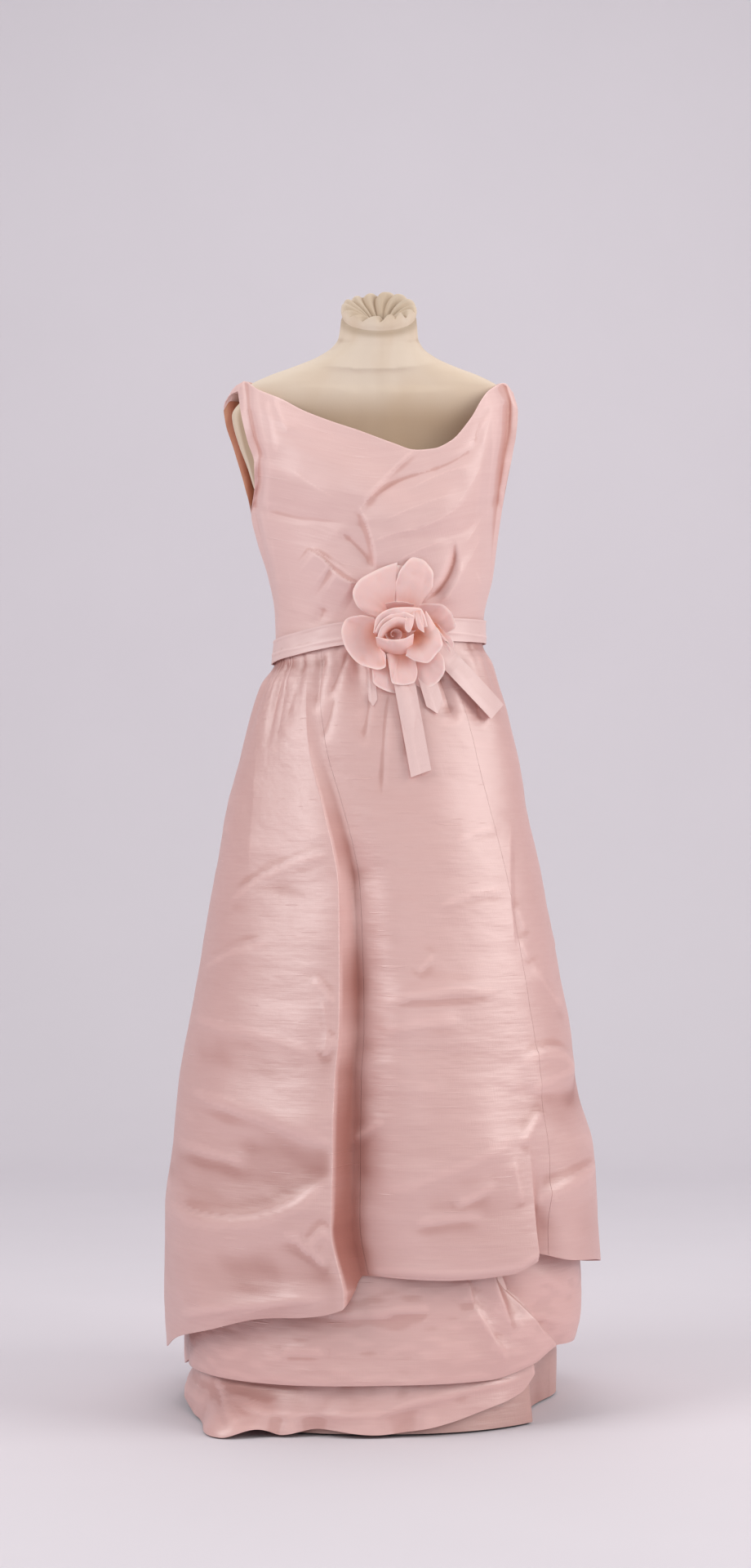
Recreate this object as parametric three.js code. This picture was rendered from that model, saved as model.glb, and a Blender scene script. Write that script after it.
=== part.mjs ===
import * as THREE from "three";

// A sleeveless evening dress of stiff organza with a draped neckline, a ribbon sash, a cloth rose and a
// skirt of three tiers, worn by a limbless dress form on a pole and a round base.
// Sizes are in millimetres, angles in degrees. +Z is up and the front faces -Y. Left and right are as
// seen from the front, so right is +X. An angle round the figure starts at the front and grows towards
// the right: 90 is the right side, 180 the back and -90 the left side.
// The origin is on the floor under the pole.

// ---------------------------------------------------------------- driving sizes

const CLOTH = 1.2; // wall of a skirt or bodice piece
const PETAL = 1.0; // wall of a petal
const RIBBON = 1.2; // wall of the sash and its tails
const SEAM = 0.3; // gap between two pieces sewn edge to edge
const SQUARENESS = 2.3; // power of the oval sections; 2 is an ellipse
const SASH_WIDTH = 32;
const TAIL_WIDTH = 29;

const BASE = { radius: 175, height: 12 };
const POLE = { radius: 14 };

// Height of the waist seam, which dips on the left, by angle.
const WAIST = [
  { angle: -180, z: 1058 },
  { angle: -90, z: 1050 },
  { angle: -58, z: 1058 },
  { angle: -40, z: 1066 },
  { angle: -22, z: 1073 },
  { angle: 0, z: 1077 },
  { angle: 40, z: 1079 },
  { angle: 90, z: 1079 },
  { angle: 180, z: 1058 },
];

// The overskirt's horizontal sections, from the hem up.
const OVERSKIRT = [
  { z: 60, left: 293, right: 318, front: 284, back: 318 },
  { z: 196, left: 298, right: 315, front: 281, back: 308 },
  { z: 275, left: 297, right: 309, front: 276, back: 298 },
  { z: 350, left: 287, right: 305, front: 270, back: 288 },
  { z: 424, left: 280, right: 286, front: 262, back: 278 },
  { z: 540, left: 260, right: 269, front: 244, back: 258 },
  { z: 671, left: 238, right: 245, front: 216, back: 232 },
  { z: 800, left: 217, right: 219, front: 186, back: 202 },
  { z: 883, left: 197, right: 203, front: 165, back: 178 },
  { z: 965, left: 176, right: 186, front: 144, back: 152 },
  { z: 1006, left: 162, right: 173, front: 131, back: 134 },
  { z: 1036, left: 142.4, right: 164, front: 119, back: 110 },
  { z: 1062, left: 141, right: 150, front: 113, back: 103.5 },
  { z: 1090, left: 141, right: 149.5, front: 112, back: 103 },
];

const OVERSKIRT_HEM = [
  { angle: -180, z: 122 },
  { angle: -135, z: 104 },
  { angle: -86, z: 80 },
  { angle: -63, z: 112 },
  { angle: -48, z: 131 },
  { angle: -30, z: 156 },
  { angle: -16, z: 169 },
  { angle: -11, z: 180 },
  { angle: -8, z: 200 },
  { angle: -5, z: 214 },
  { angle: 7, z: 210 },
  { angle: 22, z: 207 },
  { angle: 37, z: 211 },
  { angle: 44, z: 224 },
  { angle: 47, z: 233 },
  { angle: 58, z: 220 },
  { angle: 72, z: 211 },
  { angle: 90, z: 195 },
  { angle: 135, z: 160 },
  { angle: 180, z: 122 },
];

// The long front fold hangs nearly plumb, so its angle changes as the skirt widens. The cloth's own
// angle is counted at the hem, and the grain is carried round with the fold higher up.
const FRONT_FOLD = { at: -8, hill: 45 };
const FRONT_FOLD_PATH = [
  { z: 196, angle: -8 },
  { z: 284, angle: -11.5 },
  { z: 474, angle: -11.5 },
  { z: 532, angle: -10.8 },
  { z: 638, angle: -11.7 },
  { z: 730, angle: -13.5 },
  { z: 780, angle: -16.5 },
  { z: 835, angle: -22 },
  { z: 907, angle: -31 },
  { z: 1044, angle: -44 },
];

// Step folds: the cloth swells to a ridge, drops in over `step` degrees to a valley and recovers over
// `recover` degrees, more squarely the greater its `power`. `ridge` and `valley` are reached at the
// height `full` and fade to nothing at `fade`.
const FRONT_STEP = { rise: 20, step: 2.6, recover: 9, power: 2, ridge: 20, valley: 28, full: 560, fade: 1046 };
const SIDE_STEP = { at: 45, rise: 8, step: 3, recover: 8, power: 2, ridge: 5, valley: 18, full: 225, fade: 400 };

// Gathers under the waist seam: troughs that die out `reach` below it.
const GATHERS = [
  { angle: -68, width: 5, depth: 4, reach: 150 },
  { angle: -40, width: 4.5, depth: 5, reach: 170 },
  { angle: 14, width: 4, depth: 6, reach: 120 },
  { angle: 27, width: 4.5, depth: 4, reach: 140 },
  { angle: 41, width: 5, depth: 3, reach: 130 },
  { angle: 57, width: 5.5, depth: 8, reach: 190 },
  { angle: 76, width: 5, depth: 4, reach: 150 },
];
const BACK_GATHERS = { first: 96, spacing: 16, count: 10, width: 5, depth: 5, reach: 170 };

// Broad soft flutes that open towards the hem: `out` is full at the hem and gone at `top`.
const FLUTES = [
  { angle: -128, width: 15, out: 13, top: 820 },
  { angle: -104, width: 10, out: -9, top: 700 },
  { angle: 106, width: 10, out: -9, top: 700 },
  { angle: 130, width: 15, out: 13, top: 820 },
  { angle: 155, width: 11, out: -11, top: 760 },
  { angle: 180, width: 13, out: 12, top: 860 },
  { angle: -155, width: 11, out: -11, top: 760 },
  { angle: -180, width: 13, out: 12, top: 860 },
];

// The underskirt hangs from the waist to the floor and carries the two flounces.
const UNDERSKIRT = [
  { z: 4, left: 252, right: 262, front: 266, back: 264 },
  { z: 60, left: 247, right: 263, front: 250, back: 260 },
  { z: 110, left: 243, right: 254, front: 238, back: 256 },
  { z: 210, left: 238, right: 246, front: 226, back: 250 },
  { z: 370, left: 228, right: 236, front: 210, back: 236 },
  { z: 740, left: 195, right: 198, front: 165, back: 182 },
  { z: 900, left: 172, right: 178, front: 139, back: 150 },
  { z: 1000, left: 150, right: 160, front: 119, back: 120 },
  { z: 1034, left: 138.4, right: 150, front: 108, back: 100 },
  { z: 1090, left: 138.4, right: 147, front: 108, back: 100 },
];
const UNDERSKIRT_HEM = 3;
const UNDERSKIRT_EVEN = 900; // up to here its rows are level; above they follow the waist

// At the right the underskirt and the lowest flounce are folded in together, nearly to the base.
const DEEP_STEP = { at: 50, rise: 9, step: 7, recover: 35, power: 4, ridge: 2, valley: 42, full: 50, fade: 250 };

// Each flounce is sewn to the underskirt along its top edge and hangs free `FREE` below it.
const FREE = 60;
const MIDDLE_TOP = 372;
const MIDDLE = [
  { z: 30, left: 263, right: 262, front: 276, back: 288 },
  { z: 62, left: 263, right: 268, front: 276, back: 287 },
  { z: 90, left: 263, right: 280, front: 272, back: 284 },
  { z: 130, left: 262, right: 288, front: 264, back: 280 },
  { z: 205, left: 257, right: 286, front: 248, back: 272 },
  { z: 300, left: 244, right: 262, front: 232, back: 256 },
  { z: MIDDLE_TOP, left: 234, right: 240, front: 216, back: 242 },
];
const MIDDLE_HEM = [
  { angle: -180, z: 62 },
  { angle: -125, z: 52 },
  { angle: -104, z: 40 },
  { angle: -90, z: 56 },
  { angle: -60, z: 62 },
  { angle: 0, z: 69 },
  { angle: 32, z: 70 },
  { angle: 46, z: 83 },
  { angle: 57, z: 103 },
  { angle: 62, z: 98 },
  { angle: 80, z: 93 },
  { angle: 94, z: 86 },
  { angle: 130, z: 72 },
  { angle: 180, z: 62 },
];
// A slit that opens upwards, and a flap whose edge slants: the flap's angle is counted at the hem.
const SLIT = { rise: 6, step: 2.5, recover: 4.5, power: 2, ridge: 3, valley: 17, full: 205, fade: 125 };
const FLAP = { at: 57, rise: 10, step: 3, recover: 9, power: 2, ridge: 6, valley: 17, full: 180, fade: 350 };
const SLIT_PATH = [
  { z: 125, angle: 40 },
  { z: 205, angle: 35.5 },
];
const FLAP_HILL = 22;
const FLAP_PATH = [
  { z: 90, angle: 57 },
  { z: 103, angle: 56 },
  { z: 130, angle: 50 },
  { z: 162, angle: 44.5 },
  { z: 210, angle: 38.5 },
  { z: 275, angle: 46 },
  { z: 320, angle: 57 },
];
const MIDDLE_FLUTES = [
  { angle: -103, width: 8, out: 14, top: 260 },
  { angle: -20, width: 12, out: 4, top: 300 },
  { angle: 135, width: 14, out: 10, top: 320 },
  { angle: 170, width: 12, out: -9, top: 300 },
  { angle: -150, width: 14, out: 10, top: 320 },
];

const LOWER_TOP = 218;
const LOWER = [
  { z: 2, left: 269, right: 272, front: 284, back: 278 },
  { z: 24, left: 268, right: 272, front: 276, back: 276 },
  { z: 48, left: 256, right: 272, front: 268, back: 272 },
  { z: 75, left: 253, right: 271, front: 260, back: 268 },
  { z: 140, left: 247, right: 261, front: 245, back: 262 },
  { z: LOWER_TOP, left: 241, right: 249, front: 230, back: 254 },
];
const LOWER_HEM = [
  { angle: -180, z: 14 },
  { angle: -120, z: 12 },
  { angle: -90, z: 16 },
  { angle: -60, z: 5 },
  { angle: -36, z: 2 },
  { angle: -30, z: 12 },
  { angle: -25, z: 4 },
  { angle: -16, z: 11 },
  { angle: 0, z: 5 },
  { angle: 10, z: 9 },
  { angle: 22, z: 20 },
  { angle: 32, z: 33 },
  { angle: 44, z: 48 },
  { angle: 56, z: 88 },
  { angle: 80, z: 96 },
  { angle: 110, z: 60 },
  { angle: 150, z: 22 },
  { angle: 180, z: 14 },
];
const LOWER_FLUTES = [
  { angle: -37, width: 12, out: 60, top: 62 },
  { angle: -27, width: 3.5, out: -14, top: 50 },
  { angle: -17, width: 5, out: -9, top: 50 },
  { angle: 8, width: 6, out: -6, top: 50 },
  { angle: 150, width: 12, out: 10, top: 160 },
  { angle: -140, width: 12, out: 10, top: 160 },
];

// Panels between seams, by angle.
const OVERSKIRT_PANELS = [
  { name: "overskirt_left", from: -92, to: -1.5 },
  { name: "overskirt_centre", from: -1.5, to: 52 },
  { name: "overskirt_right", from: 52, to: 92 },
  { name: "overskirt_back_right", from: 92, to: 180 },
  { name: "overskirt_back_left", from: -180, to: -92 },
];
const UNDERSKIRT_PANELS = [
  { name: "underskirt_front", from: -90, to: 90 },
  { name: "underskirt_back_right", from: 90, to: 180 },
  { name: "underskirt_back_left", from: -180, to: -90 },
];
const MIDDLE_PANELS = [
  { name: "middle_flounce_front", from: -90, to: 90 },
  { name: "middle_flounce_back_right", from: 90, to: 180 },
  { name: "middle_flounce_back_left", from: -180, to: -90 },
];
const LOWER_PANELS = [
  { name: "lower_flounce_front", from: -90, to: 90 },
  { name: "lower_flounce_back_right", from: 90, to: 180 },
  { name: "lower_flounce_back_left", from: -180, to: -90 },
];

// Bodice edges as seen from the front, walked from one end to the other by `at`.
const FRONT_NECKLINE = [
  { at: 0, x: -195, y: 0, z: 1419 },
  { at: 0.04, x: -186, y: 0, z: 1433 },
  { at: 0.08, x: -167, y: -32, z: 1418 },
  { at: 0.13, x: -134, y: -58, z: 1402 },
  { at: 0.21, x: -101, y: -75, z: 1383 },
  { at: 0.3, x: -69, y: -87, z: 1369 },
  { at: 0.42, x: -23, y: -100, z: 1352 },
  { at: 0.54, x: 23, y: -110, z: 1334 },
  { at: 0.64, x: 55, y: -114, z: 1324 },
  { at: 0.72, x: 79, y: -113, z: 1326 },
  { at: 0.8, x: 104, y: -106, z: 1338 },
  { at: 0.87, x: 131, y: -88, z: 1370 },
  { at: 0.93, x: 155, y: -54, z: 1410 },
  { at: 0.96, x: 180, y: 0, z: 1430 },
  { at: 1, x: 193, y: 0, z: 1417 },
];
const LEFT_FRONT_EDGE = [
  { at: 0, x: -141, y: 0, z: 1050 },
  { at: 0.16, x: -143, y: 0, z: 1107 },
  { at: 0.3, x: -152, y: 0, z: 1156 },
  { at: 0.45, x: -168, y: 0, z: 1208 },
  { at: 0.56, x: -176, y: 0, z: 1246 },
  { at: 0.6, x: -174, y: -14, z: 1260 },
  { at: 0.66, x: -170, y: -38, z: 1283 },
  { at: 0.74, x: -170, y: -52, z: 1312 },
  { at: 0.82, x: -179, y: -51, z: 1342 },
  { at: 0.91, x: -188, y: -38, z: 1378 },
  { at: 1, x: -195, y: 0, z: 1419 },
];
const RIGHT_FRONT_EDGE = [
  { at: 0, x: 149.5, y: 0, z: 1079 },
  { at: 0.1, x: 152.5, y: 0, z: 1107 },
  { at: 0.24, x: 164, y: 0, z: 1155 },
  { at: 0.41, x: 171, y: 0, z: 1208 },
  { at: 0.54, x: 177, y: 0, z: 1250 },
  { at: 0.6, x: 180, y: -10, z: 1272 },
  { at: 0.72, x: 187, y: -20, z: 1312 },
  { at: 0.84, x: 196, y: -22, z: 1354 },
  { at: 0.94, x: 199, y: -14, z: 1390 },
  { at: 1, x: 193, y: 0, z: 1417 },
];
const LEFT_BACK_EDGE = [
  { at: 0, x: -141, y: 0, z: 1050 },
  { at: 0.16, x: -143, y: 0, z: 1107 },
  { at: 0.3, x: -152, y: 0, z: 1156 },
  { at: 0.45, x: -168, y: 0, z: 1208 },
  { at: 0.56, x: -176, y: 0, z: 1246 },
  { at: 0.67, x: -187, y: 21, z: 1293 },
  { at: 0.79, x: -201, y: 33, z: 1342 },
  { at: 0.87, x: -212, y: 35, z: 1376 },
  { at: 0.93, x: -216, y: 29, z: 1402 },
  { at: 0.965, x: -205, y: 14, z: 1417 },
  { at: 1, x: -195, y: 0, z: 1419 },
];
const RIGHT_BACK_EDGE = [
  { at: 0, x: 149.5, y: 0, z: 1079 },
  { at: 0.1, x: 152.5, y: 0, z: 1107 },
  { at: 0.24, x: 164, y: 0, z: 1155 },
  { at: 0.41, x: 171, y: 0, z: 1208 },
  { at: 0.54, x: 177, y: 0, z: 1250 },
  { at: 0.68, x: 186, y: 18, z: 1298 },
  { at: 0.82, x: 195, y: 32, z: 1346 },
  { at: 0.92, x: 199, y: 30, z: 1385 },
  { at: 1, x: 193, y: 0, z: 1417 },
];
const LEFT_BACK_NECKLINE = [
  { at: 0, x: -195, y: 0, z: 1419 },
  { at: 0.09, x: -186, y: 0, z: 1433 },
  { at: 0.2, x: -165, y: 30, z: 1432 },
  { at: 0.45, x: -116, y: 68, z: 1412 },
  { at: 0.75, x: -55, y: 93, z: 1389 },
  { at: 1, x: 0, y: 102, z: 1380 },
];
const RIGHT_BACK_NECKLINE = [
  { at: 0, x: 193, y: 0, z: 1417 },
  { at: 0.09, x: 180, y: 0, z: 1430 },
  { at: 0.2, x: 162, y: 30, z: 1428 },
  { at: 0.45, x: 114, y: 68, z: 1412 },
  { at: 0.75, x: 55, y: 93, z: 1389 },
  { at: 1, x: 0, y: 102, z: 1380 },
];
const BACK_WAIST_Y = 103;
const BUST = { out: 25, height: 0.52, spread: 0.42 };
const BACK_GRID = { across: 8, up: 12 };
const BLADES = { out: 24, wide: 7, height: 0.6, spread: 0.4 };

// Folds of the front, as lines seen from the front. The cloth rises by `out` on one side of the line,
// over `soft`, and drops on its other side, over `sharp`. `bow` bends the line sideways at its middle.
const DRAPES = [
  { x1: 52, z1: 1322, x2: -22, z2: 1252, bow: -4, out: 6, soft: -28, sharp: 10 },
  { x1: -22, z1: 1252, x2: 6, z2: 1170, bow: 3, out: 6, soft: -28, sharp: 10 },
  { x1: -16, z1: 1262, x2: 150, z2: 1372, bow: -20, out: -6, soft: 20, sharp: 18 },
  { x1: -24, z1: 1146, x2: -92, z2: 1192, bow: -4, out: 6, soft: -18, sharp: 8 },
  { x1: -46, z1: 1130, x2: -110, z2: 1150, bow: -3, out: 3, soft: -16, sharp: 12 },
  { x1: 70, z1: 1124, x2: 104, z2: 1194, bow: 6, out: 6, soft: 16, sharp: 8 },
  { x1: 92, z1: 1120, x2: 146, z2: 1240, bow: 8, out: 3, soft: 16, sharp: 12 },
];

const SASH_CLEAR = 1.6; // air between the sash and what it is tied over

// The rose is sewn to a pad on the sash. Its own directions are right, up and out from the body, and
// the pad runs from `padBack` to `padHeight` out of its middle plane.
const ROSE = { x: 24, y: -120.5, z: 1070, turn: 10, padRadius: 16, padBack: -2.1, padHeight: 9 };

// Petals lie round the pad. `angle` is clockwise from up, `from` and `long` run outwards from the middle,
// `lift` is the root's height over the pad's back, `tilt` its slope off the body and `curl` how much
// that slope changes by the tip. `cup` lifts both edges.
const PETALS = [
  { name: "petal_top_left", angle: -26, from: 16.2, long: 78, wide: 66, lift: 2.5, tilt: 18, curl: -12, cup: 4 },
  { name: "petal_top_right", angle: 13, from: 16.2, long: 80, wide: 56, lift: 7.5, tilt: 20, curl: 4, cup: 8 },
  { name: "petal_left", angle: -97, from: 16.2, long: 58, wide: 72, lift: 8.4, tilt: 34, curl: -46, cup: 5 },
  { name: "petal_right", angle: 68, from: 16.2, long: 66, wide: 42, lift: 3.6, tilt: 15, curl: 22, cup: 9 },
  { name: "petal_low_right", angle: 137, from: 16.2, long: 74, wide: 58, lift: 1.8, tilt: 27, curl: -22, cup: 5 },
  { name: "petal_low", angle: 170, from: 16.2, long: 56, wide: 42, lift: 8, tilt: 30, curl: -10, cup: 4 },
  { name: "petal_low_left", angle: -159, from: 16.2, long: 64, wide: 47, lift: 4.2, tilt: 25.5, curl: -18, cup: 4 },
];

// Inner petals stand on the pad's face round the heart, each a cup bent round the rose's middle.
// `radius` and `flare` are their distance at the foot and how far they lean out by the rim.
const CUPS = [
  { name: "cup_right", from: 66, to: 158, radius: 14.5, flare: 36, high: 30 },
  { name: "cup_low", from: 166, to: 262, radius: 14.5, flare: 13, high: 32 },
  { name: "cup_top", from: -92, to: 60, radius: 14.5, flare: 12, high: 29 },
];
const HEART = { from: -150, turns: 1.35, inner: 4.2, pitch: 5, high: 27, flare: 4 };

// Ribbon tails, as strips seen from the front, with the clearance of each end from the skirt.
const TAILS = [
  { name: "tail_centre", x1: 30, z1: 1052, x2: 61, z2: 880, off1: 6, off2: 8, wide: TAIL_WIDTH, cut: 5 },
  { name: "tail_right", x1: 80, z1: 1058, x2: 168, z2: 966, off1: 6.8, off2: 12, wide: 28, cut: 2 },
  { name: "tail_short", x1: 56, z1: 1058.5, x2: 84, z2: 962, off1: 4.5, off2: 4, wide: 24, cut: -14 },
  { name: "bud_leaf", x1: -8, z1: 1030, x2: -4, z2: 972, off1: 0.5, off2: 0.5, wide: 12, cut: -9 },
];

// The dress form's sections about a middle line that wanders a little, as a stuffed cover does.
const FORM = [
  { z: 742, middle: 0, half: 120, front: 84, back: 92 },
  { z: 754, middle: 0, half: 152, front: 104, back: 116 },
  { z: 800, middle: 0, half: 168, front: 113, back: 128 },
  { z: 870, middle: 0, half: 166, front: 114, back: 126 },
  { z: 960, middle: 0, half: 148, front: 106, back: 108 },
  { z: 1060, middle: 2, half: 128, front: 94, back: 84 },
  { z: 1150, middle: 2, half: 143, front: 106, back: 92 },
  { z: 1240, middle: -1, half: 157, front: 118, back: 96 },
  { z: 1300, middle: -3, half: 172, front: 108, back: 98 },
  { z: 1345, middle: -3, half: 186, front: 90, back: 92 },
  { z: 1385, middle: -3, half: 193, front: 74, back: 80 },
  { z: 1408, middle: -3, half: 185, front: 63, back: 69 },
  { z: 1424, middle: -4, half: 178, front: 58, back: 61 },
  { z: 1440, middle: -3, half: 150, front: 56, back: 58 },
  { z: 1453, middle: -2, half: 115, front: 55, back: 57 },
  { z: 1466, middle: 0, half: 85, front: 54, back: 56 },
  { z: 1482, middle: 2, half: 64, front: 53, back: 56 },
  { z: 1500, middle: 3, half: 55, front: 53, back: 56 },
  { z: 1540, middle: 4, half: 52, front: 52, back: 54 },
];
const FORM_POWER = 2;

// The form's cover is drawn in over the neck, on a slant, by uneven pleats round a small hole.
const NECK = { height: 1534, slope: 0.5, pleats: 14, depth: 2.4 };
const NECK_RINGS = [
  { share: 1, rise: -10, pleat: 0 },
  { share: 1, rise: -2, pleat: 0.1 },
  { share: 0.965, rise: 4, pleat: 0.5 },
  { share: 0.86, rise: 6, pleat: 1 },
  { share: 0.64, rise: 3, pleat: 1 },
  { share: 0.4, rise: -4, pleat: 0.8 },
  { share: 0.22, rise: -14, pleat: 0.4 },
  { share: 0.13, rise: -28, pleat: 0 },
];
const NECK_HOLE = { x: 6, y: -16 }; // where the pleats meet, off the neck's middle

const COLOURS = { silk: 0xdfb6b0, ribbon: 0xe6c1bb, petal: 0xe6bdb6, lining: 0xc98e70, under: 0xcf9f90 };
const FORM_COLOURS = { cover: 0xe0cdb0, pole: 0x8a8a8c, base: 0x55555a };

// ---------------------------------------------------------------- helpers

const rad = THREE.MathUtils.degToRad;
const { clamp, lerp, smoothstep } = THREE.MathUtils;

const group = new THREE.Group();

/** Value of one column of a table between its rows, by a cubic that never overshoots them. */
function between(rows, key, column, at) {
  const last = rows.length - 1;
  const place = clamp(at, rows[0][key], rows[last][key]);
  let i = 0;
  while (i < last - 1 && place > rows[i + 1][key]) i += 1;
  const slope = (k) => (rows[k + 1][column] - rows[k][column]) / (rows[k + 1][key] - rows[k][key]);
  const tangent = (k) => {
    if (k === 0) return slope(0);
    if (k === last) return slope(last - 1);
    const product = slope(k - 1) * slope(k);
    return product > 0 ? (2 * product) / (slope(k - 1) + slope(k)) : 0;
  };
  const width = rows[i + 1][key] - rows[i][key];
  const t = (place - rows[i][key]) / width;
  const bend = t * (1 - t);
  const ends = lerp(rows[i][column], rows[i + 1][column], t * t * (3 - 2 * t));
  return ends + width * bend * ((1 - t) * tangent(i) - t * tangent(i + 1));
}

/** A point between the rows of a table of points. */
function pointBetween(rows, at) {
  return new THREE.Vector3(...["x", "y", "z"].map((axis) => between(rows, "at", axis, at)));
}

/** A bell: 1 at the middle and nearly 0 two widths away; a greater power squares its shoulders. */
function bell(distance, width, power = 2) {
  return Math.exp(-(Math.abs(distance / width) ** power));
}

/** From 0 at one place to 1 at another, smoothly, in either direction. */
function ramp(place, none, all) {
  const share = clamp((place - none) / (all - none), 0, 1);
  return share * share * (3 - 2 * share);
}

/** Distance from the middle to an oval, in the direction of an angle. */
function ovalRadius(size, angle, power = SQUARENESS) {
  const across = Math.sin(rad(angle));
  const ahead = Math.cos(rad(angle));
  const width = across < 0 ? size.left : size.right;
  const depth = ahead > 0 ? size.front : size.back;
  const sum = Math.abs(across / width) ** power + Math.abs(ahead / depth) ** power;
  return sum ** (-1 / power);
}

/** The oval that a table of sections has at a height. */
function sectionAt(rows, z) {
  const sides = ["left", "right", "front", "back"];
  return Object.fromEntries(sides.map((side) => [side, between(rows, "z", side, z)]));
}

/** The point at a distance from the middle, an angle and a height. */
function around(radius, angle, z) {
  return new THREE.Vector3(radius * Math.sin(rad(angle)), -radius * Math.cos(rad(angle)), z);
}

/** Numbers from one end to the other, closer together near each place in `dense`. */
function stations(from, to, count, dense = []) {
  const weight = (x) => 1 + dense.reduce((sum, d) => sum + d.extra * bell(x - d.at, d.spread), 0);
  const steps = 400;
  const running = [0];
  for (let i = 0; i < steps; i += 1) {
    running.push(running[i] + weight(lerp(from, to, (i + 0.5) / steps)));
  }
  return Array.from({ length: count + 1 }, (_, n) => {
    const wanted = (running[steps] * n) / count;
    let i = 0;
    while (i < steps - 1 && running[i + 1] < wanted) i += 1;
    const share = (wanted - running[i]) / (running[i + 1] - running[i]);
    return lerp(from, to, (i + share) / steps);
  });
}

/** A closed solid from points and triangles, with its faces turned outwards. */
function solid(name, colour, points, triangles, roughness = 0.55) {
  const volume = triangles.reduce((sum, [a, b, c]) => {
    return sum + points[a].dot(new THREE.Vector3().crossVectors(points[b], points[c]));
  }, 0);
  const facing = volume < 0 ? triangles.map(([a, b, c]) => [a, c, b]) : triangles;
  const geometry = new THREE.BufferGeometry();
  geometry.setFromPoints(points);
  geometry.setIndex(facing.flat());
  geometry.computeVertexNormals();
  const material = new THREE.MeshStandardMaterial({ color: colour, roughness, metalness: 0 });
  const mesh = new THREE.Mesh(geometry, material);
  mesh.name = name;
  group.add(mesh);
}

/** The direction out of a surface at a place, from its neighbours on both sides. */
function outward(surface, u, v, du, dv) {
  const across = surface(u + du, v).sub(surface(u - du, v));
  const along = surface(u, v + dv).sub(surface(u, v - dv));
  return across.cross(along).normalize();
}

/**
 * A cloth wall: the surface over a grid of us and vs, and the same grid moved in by its thickness.
 * `keep` may hold each inner point back from a seam.
 */
function wall(name, colour, surface, us, vs, thick, keep = (point) => point) {
  const rows = vs.length;
  const du = (us[us.length - 1] - us[0]) * 1e-3;
  const dv = (vs[rows - 1] - vs[0]) * 1e-3;
  const outer = us.flatMap((u) => vs.map((v) => surface(u, v)));
  const inner = us.flatMap((u, i) =>
    vs.map((v, j) => {
      const direction = outward(surface, u, v, du, dv);
      return keep(outer[i * rows + j].clone().addScaledVector(direction, -thick));
    }),
  );
  const inside = outer.length;
  const triangles = [];
  const quad = (a, b, c, d) => triangles.push([a, b, c], [a, c, d]);
  for (let i = 0; i < us.length - 1; i += 1) {
    for (let j = 0; j < rows - 1; j += 1) {
      const a = i * rows + j;
      quad(a, a + rows, a + rows + 1, a + 1);
      quad(inside + a, inside + a + 1, inside + a + rows + 1, inside + a + rows);
    }
    const low = i * rows;
    const high = low + rows - 1;
    quad(low, inside + low, inside + low + rows, low + rows);
    quad(high, high + rows, inside + high + rows, inside + high);
  }
  const end = (us.length - 1) * rows;
  for (let j = 0; j < rows - 1; j += 1) {
    quad(j, j + 1, inside + j + 1, inside + j);
    quad(end + j, inside + end + j, inside + end + j + 1, end + j + 1);
  }
  solid(name, colour, outer.concat(inner), triangles);
}

/** A solid from closed rings of equal length, stacked, with a fan over each end. */
function stack(name, colour, rings, roughness) {
  const count = rings[0].length;
  const points = rings.flat();
  const triangles = [];
  for (let r = 0; r < rings.length - 1; r += 1) {
    for (let i = 0; i < count; i += 1) {
      const a = r * count + i;
      const b = r * count + ((i + 1) % count);
      triangles.push([a, b, b + count], [a, b + count, a + count]);
    }
  }
  const middleOf = (ring) => {
    const sum = ring.reduce((total, p) => total.add(p), new THREE.Vector3());
    return sum.divideScalar(ring.length);
  };
  const low = points.push(middleOf(rings[0])) - 1;
  const high = points.push(middleOf(rings[rings.length - 1])) - 1;
  const top = (rings.length - 1) * count;
  for (let i = 0; i < count; i += 1) {
    const next = (i + 1) % count;
    triangles.push([low, next, i], [high, top + i, top + next]);
  }
  solid(name, colour, points, triangles, roughness);
}

// ---------------------------------------------------------------- skirt

/** How far a step fold moves the cloth out, at degrees past its ridge and a height. */
function stepFold(fold, past, z) {
  const drop = smoothstep(past, 0, fold.step);
  const ridge = fold.ridge * bell(Math.min(past, 0), fold.rise) * (1 - drop);
  const valley = fold.valley * drop * bell(Math.max(past - fold.step, 0), fold.recover, fold.power);
  return ramp(z, fold.fade, fold.full) * (ridge - valley);
}

/** How far broad flutes move the cloth out, at an angle, for a hem at `low`. */
function flutes(rows, angle, z, low) {
  return rows.reduce((sum, row) => {
    return sum + row.out * bell(angle - row.angle, row.width) * ramp(z, row.top, low);
  }, 0);
}

/** How far the gathers pull the cloth in, `below` the waist seam. */
function gathers(angle, below) {
  const trough = (row, away) => {
    return row.depth * bell(away, row.width) * ramp(below, 14, 46) * ramp(below, row.reach, 50);
  };
  let sum = GATHERS.reduce((total, row) => total + trough(row, angle - row.angle), 0);
  for (let n = 0; n < BACK_GATHERS.count; n += 1) {
    const away = Math.abs(angle - BACK_GATHERS.first - n * BACK_GATHERS.spacing);
    sum += trough(BACK_GATHERS, Math.min(away, 360 - away));
  }
  return sum;
}

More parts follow.
